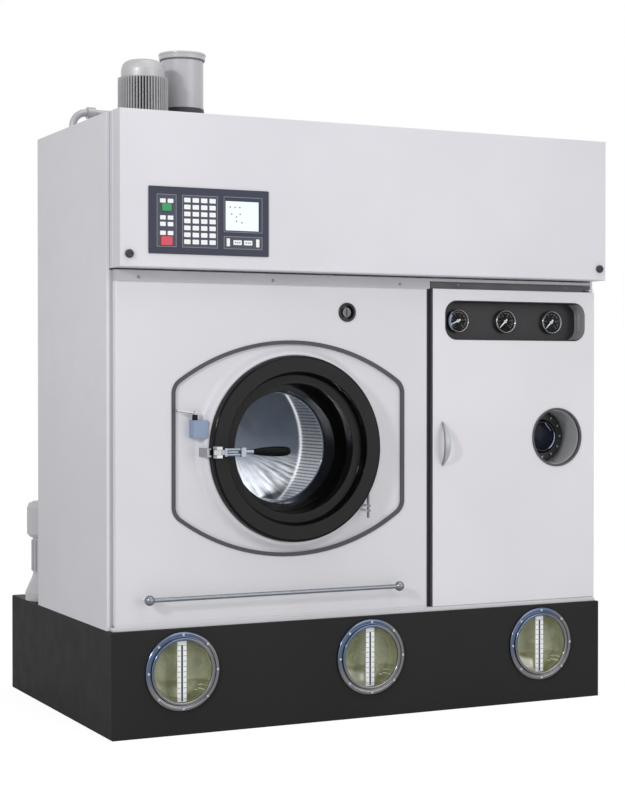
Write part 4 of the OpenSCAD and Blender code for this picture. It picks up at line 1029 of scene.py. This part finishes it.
# Twelve hexagonal bolts round the port of the still
turned(rounded([(0, 0), (4.5, 0), (4.5, -3), (3.6, -4), (0, -4)], 0.5, 2),
       (port.x + PORT_BOLT_RING, -342, port.z), steps=6)
repeat(on_circle(PORT_BOLT_RING, 12)[1:])
keep("port_bolts", port_bolt, "machine", smooth=30)

# %% [markdown]
# ## Gauges
# Three pressure gauges sit in the dark tray behind the window. Each has a thin polished bezel, a matt black
# dial with white divisions and figures, and a flat glass. The first one also has a red and a blue band, and
# the left side of its bezel is painted blue as a painted reflection.

# %% Bezels, dials and glasses
GAUGES, DIAL_Y = (293, 445, 597), -378
GAUGE_Z = Box("gauge_cases").z
FIRST_GAUGE = (GAUGES[0], 0, GAUGE_Z)
gauge_steps = [(x - GAUGES[0], 0, 0) for x in GAUGES[1:]]

bezel = from_plane(DIAL_Y, [
    (0, 6), (29, 6), (29, -2), (32, -3), (32, -6), (30.4, -8), (28.6, -7), (27.6, -1), (0, -1)])
turned(rounded(bezel, 0.7, 2), FIRST_GAUGE, steps=72)
repeat(gauge_steps)
bezels = keep("gauge_bezels", bezel_steel, "service_door", ("gauge_cases",), smooth=30)
# The left side of the first bezel is painted blue, as a painted reflection.
paint(bezels, blue_band_and_reflection, lambda m, n: m.y < DIAL_Y - 2 and -32 < m.x - GAUGES[0] < -19)

dial = from_plane(DIAL_Y, [(0, -0.5), (27.4, -0.5), (27.4, -1.8), (25.8, -1.2), (0, -1.2)])
turned(rounded(dial, 0.3, 2), FIRST_GAUGE, steps=64)
repeat(gauge_steps)
keep("gauge_dials", dial_black, "service_door", smooth=30)

pane = from_plane(DIAL_Y, [(0, -6.2), (28.2, -6.2), (28.2, -5.2), (0, -5.2)])
turned(rounded(pane, 0.2, 1), FIRST_GAUGE, steps=64)
repeat(gauge_steps)
keep("gauge_glasses", glass, "service_door", smooth=30)

# %% Divisions of the dials
PRINT_R, FIGURE_R = 25.2, 16.4
DIAL_SWEEP, FIRST_FIGURE = 270, 225

divisions = []
for count, long, wide in ((10, 4.6, 0.8), (50, 2.2, 0.35)):
    for x in GAUGES:
        dial_centre = (x, DIAL_Y, GAUGE_Z)
        block(x - wide / 2, x + wide / 2, DIAL_Y - 1.5, DIAL_Y - 1.1, GAUGE_Z + PRINT_R - long,
              GAUGE_Z + PRINT_R, 0.1, 1)
        turn_all(DIAL_SWEEP / 2, dial_centre)
        bpy.ops.mesh.spin(steps=count, dupli=True, angle=math.radians(-DIAL_SWEEP),
                          center=Vector(dial_centre) * MM, axis=(0, 1, 0))
        divisions.append(bpy.context.object)
join(*divisions)
keep("dial_divisions", print_and_highlight_grey, "service_door", flat=True)


# %% Figures of the dials
def lettering(text, size, x, y, z):
    """A flat figure facing the front, centred at a point in mm, with a little thickness."""
    fresh()
    bpy.ops.object.text_add(location=(0, 0, 0))
    made = bpy.context.object
    made.data.body = text
    made.data.size = size * MM
    made.data.extrude = 0.15 * MM
    made.data.align_x, made.data.align_y = "CENTER", "CENTER"
    made.data.resolution_u = 3
    bpy.ops.object.convert(target="MESH")
    made = bpy.context.object
    made.rotation_euler = (math.radians(90), 0, 0)
    made.location = Vector((x, y, z)) * MM
    bpy.ops.object.transform_apply(location=True, rotation=True, scale=True)
    return made


figures = []
for x in GAUGES:
    for i in range(6):
        turn = math.radians(FIRST_FIGURE - i * DIAL_SWEEP / 5)
        figures.append(lettering(str(i * 2), 4.4, x + FIGURE_R * math.cos(turn), DIAL_Y - 1.1,
                                 GAUGE_Z + FIGURE_R * math.sin(turn)))
join(*figures)
keep("dial_figures", print_and_highlight_grey, "service_door", flat=True)

# %% Coloured bands of the first gauge
BANDS = (("red_band", warn_red, "stop_red", -30, 112, 25.0, 26.5),
         ("blue_band", blue_band_and_reflection, "pale_blue", 140, 75, 21.5, 26.5))
for title, material, slot, begin, sweep, near, far in BANDS:
    block(GAUGES[0] + near, GAUGES[0] + far, DIAL_Y - 1.3, DIAL_Y - 1.1, GAUGE_Z - 0.5, GAUGE_Z + 0.5)
    pick("FACE", lambda face: face.normal.z > 0.9)
    bpy.ops.mesh.spin(steps=18, angle=math.radians(sweep), center=Vector(FIRST_GAUGE) * MM, axis=(0, 1, 0))
    turn_all(begin, (GAUGES[0], DIAL_Y, GAUGE_Z))
    bpy.ops.mesh.normals_make_consistent(inside=False)
    keep(title, material, "service_door")

# %% [markdown]
# ## Control panel
# The panel is a slate membrane with thin silver frames round its groups of keys. The white keys are low
# domes, and the two buttons are rounded caps that move. The screen is a pale lit sheet with a few plain
# dots.

# %% Fields and their frames
FASCIA_Y = Box("control_fascia").y0
FRAMES = ((-622, -570, 1220, 1350), (-555, -459, 1220, 1350), (-443, -337, 1262, 1351),
          (-443, -337, 1220, 1252))
FIELDS = ((-621, -571, 1221, 1349), (-554, -460, 1221, 1349), (-442, -338, 1221, 1251))


def outline(x0, x1, z0, z1, width=1.6):
    """A thin raised frame on the panel."""
    fresh()
    place = Vector(((x0 + x1) / 2, FASCIA_Y, (z0 + z1) / 2)) * MM
    bpy.ops.mesh.primitive_plane_add(size=MM, location=place, rotation=(math.radians(90), 0, 0))
    bpy.context.object.scale = (x1 - x0, z1 - z0, 1)
    bpy.ops.object.transform_apply(location=True, rotation=True, scale=True)
    edit()
    bpy.ops.mesh.select_mode(type="FACE")
    bpy.ops.mesh.select_all(action="SELECT")
    bpy.ops.mesh.inset(thickness=width * MM)
    bpy.ops.mesh.delete(type="FACE")
    bpy.ops.mesh.select_all(action="SELECT")
    bpy.ops.mesh.extrude_region_move(TRANSFORM_OT_translate={"value": (0, -0.35 * MM, 0)})
    bpy.ops.mesh.select_all(action="SELECT")
    bpy.ops.mesh.normals_make_consistent(inside=False)
    bpy.ops.object.mode_set(mode="OBJECT")
    return bpy.context.object


join(*[outline(*corners) for corners in FRAMES])
keep("silver_frames", line_silver, "header_cover", flat=True)
softened("control_fascia", 0.6, fascia_slate, "header_cover")

# %% Keys, screen, fields and buttons
SCREEN_LEFT, SCREEN_RIGHT, SCREEN_LOW = -437.6, -346.9, 1260

softened("keypad", 0.5, key_white, "header_cover", paints=[
    (screen_blue, lambda m, n: SCREEN_LEFT < m.x < SCREEN_RIGHT and m.z > SCREEN_LOW)])
marks("panel_fields", [(x0, x1, FASCIA_Y, z0, z1) for x0, x1, z0, z1 in FIELDS], field_slate, "header_cover",
      0.12)
softened("start_button", 1.6, start_green, "start_button", steps=3)
softened("stop_button", 1.6, stop_red, "stop_button", steps=3)

# %% Plain marks on the screen and on the lower keys
DOTS = ((-425, 1325), (-412, 1325), (-399, 1325), (-421, 1308), (-408, 1301), (-398, 1308), (-408, 1290),
        (-393, 1287))
DASHES = ((-413, -409), (-407, -404), (-402, -398), (-384, -380), (-378, -375), (-373, -369))

marks("screen_marks", [(x - 1.8, x + 1.8, FASCIA_Y + 0.6, z - 1.8, z + 1.8) for x, z in DOTS], mark_grey,
      "header_cover", 0.2)
marks("key_marks", [(x0, x1, FASCIA_Y - 1.2, 1235, 1238) for x0, x1 in DASHES], mark_grey, "header_cover",
      0.2)

# %% [markdown]
# ## Port of the still, round window and gauge tray
# The still is a black boiler inside the right bay. Its port has a bolted ring and a domed glass with a
# polished clamp and a wiper, and a grey shroud leads from the port to the rubber rim in the door, so that
# only the port shows. The clamp is painted black outside a bright arc at its right, as painted shade. The
# gauges' tray is a dark moulding; its right end is painted lighter and carries a pale strip, as painted
# highlights.

# %% Still, shroud and rim
PORT_CENTRE = (port.x, 0, port.z)


def shroud_face(m, n):
    """The tube that stands out from the still towards the window."""
    return m.y < -330 and 72 < math.hypot(m.x - port.x, m.z - port.z) < 78


softened("still_vessel", 1.0, still_enamel_and_clamp_shade, "machine", angle=50, paints=[
    (shroud_enamel, shroud_face)])
turned(rounded([(73.5, -403), (76.5, -403), (76.5, -410.6), (73.5, -410.6)], 1.0), PORT_CENTRE)
keep("shroud_lip", shroud_enamel, "machine", smooth=40)
softened("porthole_rim", 0.6, dark_plastic, "service_door")

# %% Tray of the gauges, with painted highlights at its right end
TRAY_END = 640

# The right end wall is painted lighter as a painted highlight.
softened("gauge_pocket", 1.1, tray_black, "service_door", steps=3, paints=[
    (tray_light, lambda m, n: n.x < -0.35 and m.x > TRAY_END)])
# A pale strip on the right end wall is a painted highlight.
block(679.8, 681.3, -395, -389, 1030, 1077, 0.4, 2)
keep("tray_end_highlight", print_and_highlight_grey, "service_door")

# %% Glass of the port, its clamp and its wiper
CLAMP_FROM, CLAMP_TO = -60, 16
WIPER_FOOT, WIPER_TILT = (596.7, -349, 740), 41

turned(rounded([(0, -347), (20, -346), (36, -342.5), (46.5, -336.5), (46.5, -331), (0, -331)]), PORT_CENTRE,
       steps=72)
keep("port_glass", port_glass, "machine", smooth=60)
turned(bead(40.5, -344, 3), PORT_CENTRE, steps=72)
clamp = keep("port_clamp", clamp_steel, "machine", smooth=80)


def clamp_painted_shade(m, n):
    """The part of the clamp painted black as painted shade, outside the bright arc at its right."""
    return not CLAMP_FROM < math.degrees(math.atan2(m.z - port.z, m.x - port.x)) < CLAMP_TO


# Painted shade: the polished clamp takes the still's black enamel outside the arc.
paint(clamp, still_enamel_and_clamp_shade, clamp_painted_shade)
turned(rounded([(0, 0), (2.2, 0), (1.6, 30), (0, 30)], 0.6, 2), WIPER_FOOT, "Z", steps=12)
turn_all(WIPER_TILT, (WIPER_FOOT[0], WIPER_FOOT[1], WIPER_FOOT[2] + 30))
keep("port_wiper", clamp_steel, "machine", smooth=60)

# %% [markdown]
# ## Roof
# The fan's motor has a turned aluminium body with cast fins and a pressed steel cowl, and the gaps between
# its fins are painted dark as painted shade. The exhaust is a grey PVC pipe with a collar, a thin grey band
# of painted shade under the collar, and it is pushed into a rubber ring.

# %% Motor
motor_box = Box("fan_motor")
MOTOR_CENTRE = (motor_box.x, motor_box.y, 0)
MOTOR_WIDER = 1.05
FINS_LOW, FINS_HIGH, FINS_R = 1561, 1657.5, 55

copy_of("fan_motor")
bpy.ops.mesh.select_all(action="SELECT")
bpy.ops.transform.resize(value=(MOTOR_WIDER, MOTOR_WIDER, 1), center_override=Vector(MOTOR_CENTRE) * MM)
break_edges(0.5, angle=50)
motor = keep("finned_motor", fin_alloy, "machine", ("fan_motor",), smooth=45)


def between_fins(m, n):
    """The body of the motor at the bottom of the gaps between its fins, painted dark as painted shade."""
    return FINS_LOW < m.z < FINS_HIGH and math.hypot(m.x - motor_box.x, m.y - motor_box.y) < FINS_R


paint(motor, fin_shade, between_fins)
cowl = [(0, 1706), (20, 1705.6), (37, 1703.4), (47, 1698.5), (53, 1690), (55.9, 1678), (56, 1656), (0, 1656)]
turned(rounded(cowl), MOTOR_CENTRE, "Z", steps=72)
keep("motor_cowl", cowl_steel, "machine", smooth=60)

# %% Exhaust pipe
pipe_box = Box("exhaust_duct")
PIPE_CENTRE = (pipe_box.x, pipe_box.y, 0)
PIPE_R = 55.5

pipe = [(52.3, 1563), (PIPE_R, 1563), (PIPE_R, 1724), (57.5, 1725.5), (60.4, 1726), (60.4, 1735), (62, 1737),
        (62, 1741), (61, 1742), (52.3, 1742)]
turned(rounded(pipe, 1.0, 2), PIPE_CENTRE, "Z")
keep("exhaust_pipe", pipe_grey, "machine", ("exhaust_duct",), smooth=30)
# A thin grey band under the collar is painted shade.
turned(rounded([(PIPE_R, 1722.3), (58.2, 1722.3), (58.2, 1724.5), (PIPE_R, 1724.5)], 0.8), PIPE_CENTRE, "Z")
keep("collar_shade_band", collar_shade_grey, "machine", smooth=60)

# A narrow rubber ring seals the pipe into the collar on the roof
seal = [(PIPE_R, 1563), (66.5, 1563), (66.5, 1579), (69.5, 1579), (69.5, 1581), (57.4, 1582.5), (57, 1597.5),
        (PIPE_R, 1598)]
turned(rounded(seal, 0.6, 2), PIPE_CENTRE, "Z")
keep("pipe_seal", dark_rubber, "machine", ("duct_sleeve",), smooth=30)

# %% [markdown]
# ## Small fittings of the front
# The hand rail is a plated tube between two balls on white feet. The locks are blackened steel with a worn
# core. Behind the gap at the left corner stands the folded return of the side panel, painted in the rails'
# grey as painted shade in the gap, and thin strips close the seams along the rails and the sill.

# %% Hand rail
RAIL_Y, RAIL_Z = -450, Box("hand_rail").z
RAIL_LEFT, RAIL_RIGHT = -632, 73
TUBE_R, BALL_R = 5.6, 13.2
FOOT_FRONT = -436
other_end = [(RAIL_RIGHT - RAIL_LEFT, 0, 0)]

turned(rounded([(0, RAIL_LEFT), (TUBE_R, RAIL_LEFT), (TUBE_R, RAIL_RIGHT), (0, RAIL_RIGHT)], 0.2, 1),
       (0, RAIL_Y, RAIL_Z), "X", steps=32)
tube = bpy.context.object
half_circle = [k * math.pi / 12 for k in range(13)]
ball = [(max(BALL_R * math.sin(a), 0.0), -BALL_R * math.cos(a)) for a in half_circle]
turned(ball, (RAIL_LEFT, RAIL_Y + 1, RAIL_Z), steps=20, closed=False)
balls = repeat(other_end)
foot = [(0, -417), (7.5, -417), (7.5, -419), (5.5, -421), (5, -440), (0, -440)]
turned(rounded(foot, 1.2), (RAIL_LEFT, 0, RAIL_Z), steps=32)
feet = repeat(other_end)
join(tube, balls, feet)
hand_rail = keep("rail_with_balls", rail_plate, "machine", ("hand_rail",), smooth=40)
paint(hand_rail, white_coat, lambda m, n: m.y > FOOT_FRONT)

# %% Locks, corner and seams
softened("left_header_lock", 0.8, blued_steel, "left_header_lock")
softened("right_header_lock", 0.8, blued_steel, "right_header_lock")
# The return is painted grey as painted shade in the gap.
block(-717, -708.8, -396.4, -392.8, 268, 1164, 0.4, 2)
keep("corner_return", rail_shade_coat, "machine")

SEAMS = ((-708.8, 175.8, -415.0, -397, 1133.5, 1138.5), (-708.8, 175.8, -415.6, -400, 276, 282.5),
         (177, 716, -415.6, -400, 276, 278.5), (-717, -708.5, -420.6, -396.4, 268.2, 277))
join(*[block(*corners, 0.4, 2) for corners in SEAMS])
keep("seam_strips", sill_coat, "machine")

# Thin strips on the cover's two sides, in the front coat, are a painted highlight along an edge
block(-717.6, -716.4, -423, -419, 1173, COVER_TOP, 0.5, 2)
repeat([(header.x1 - header.x0, 0, 0)])
keep("cover_edge_highlights", header_coat, "header_cover")
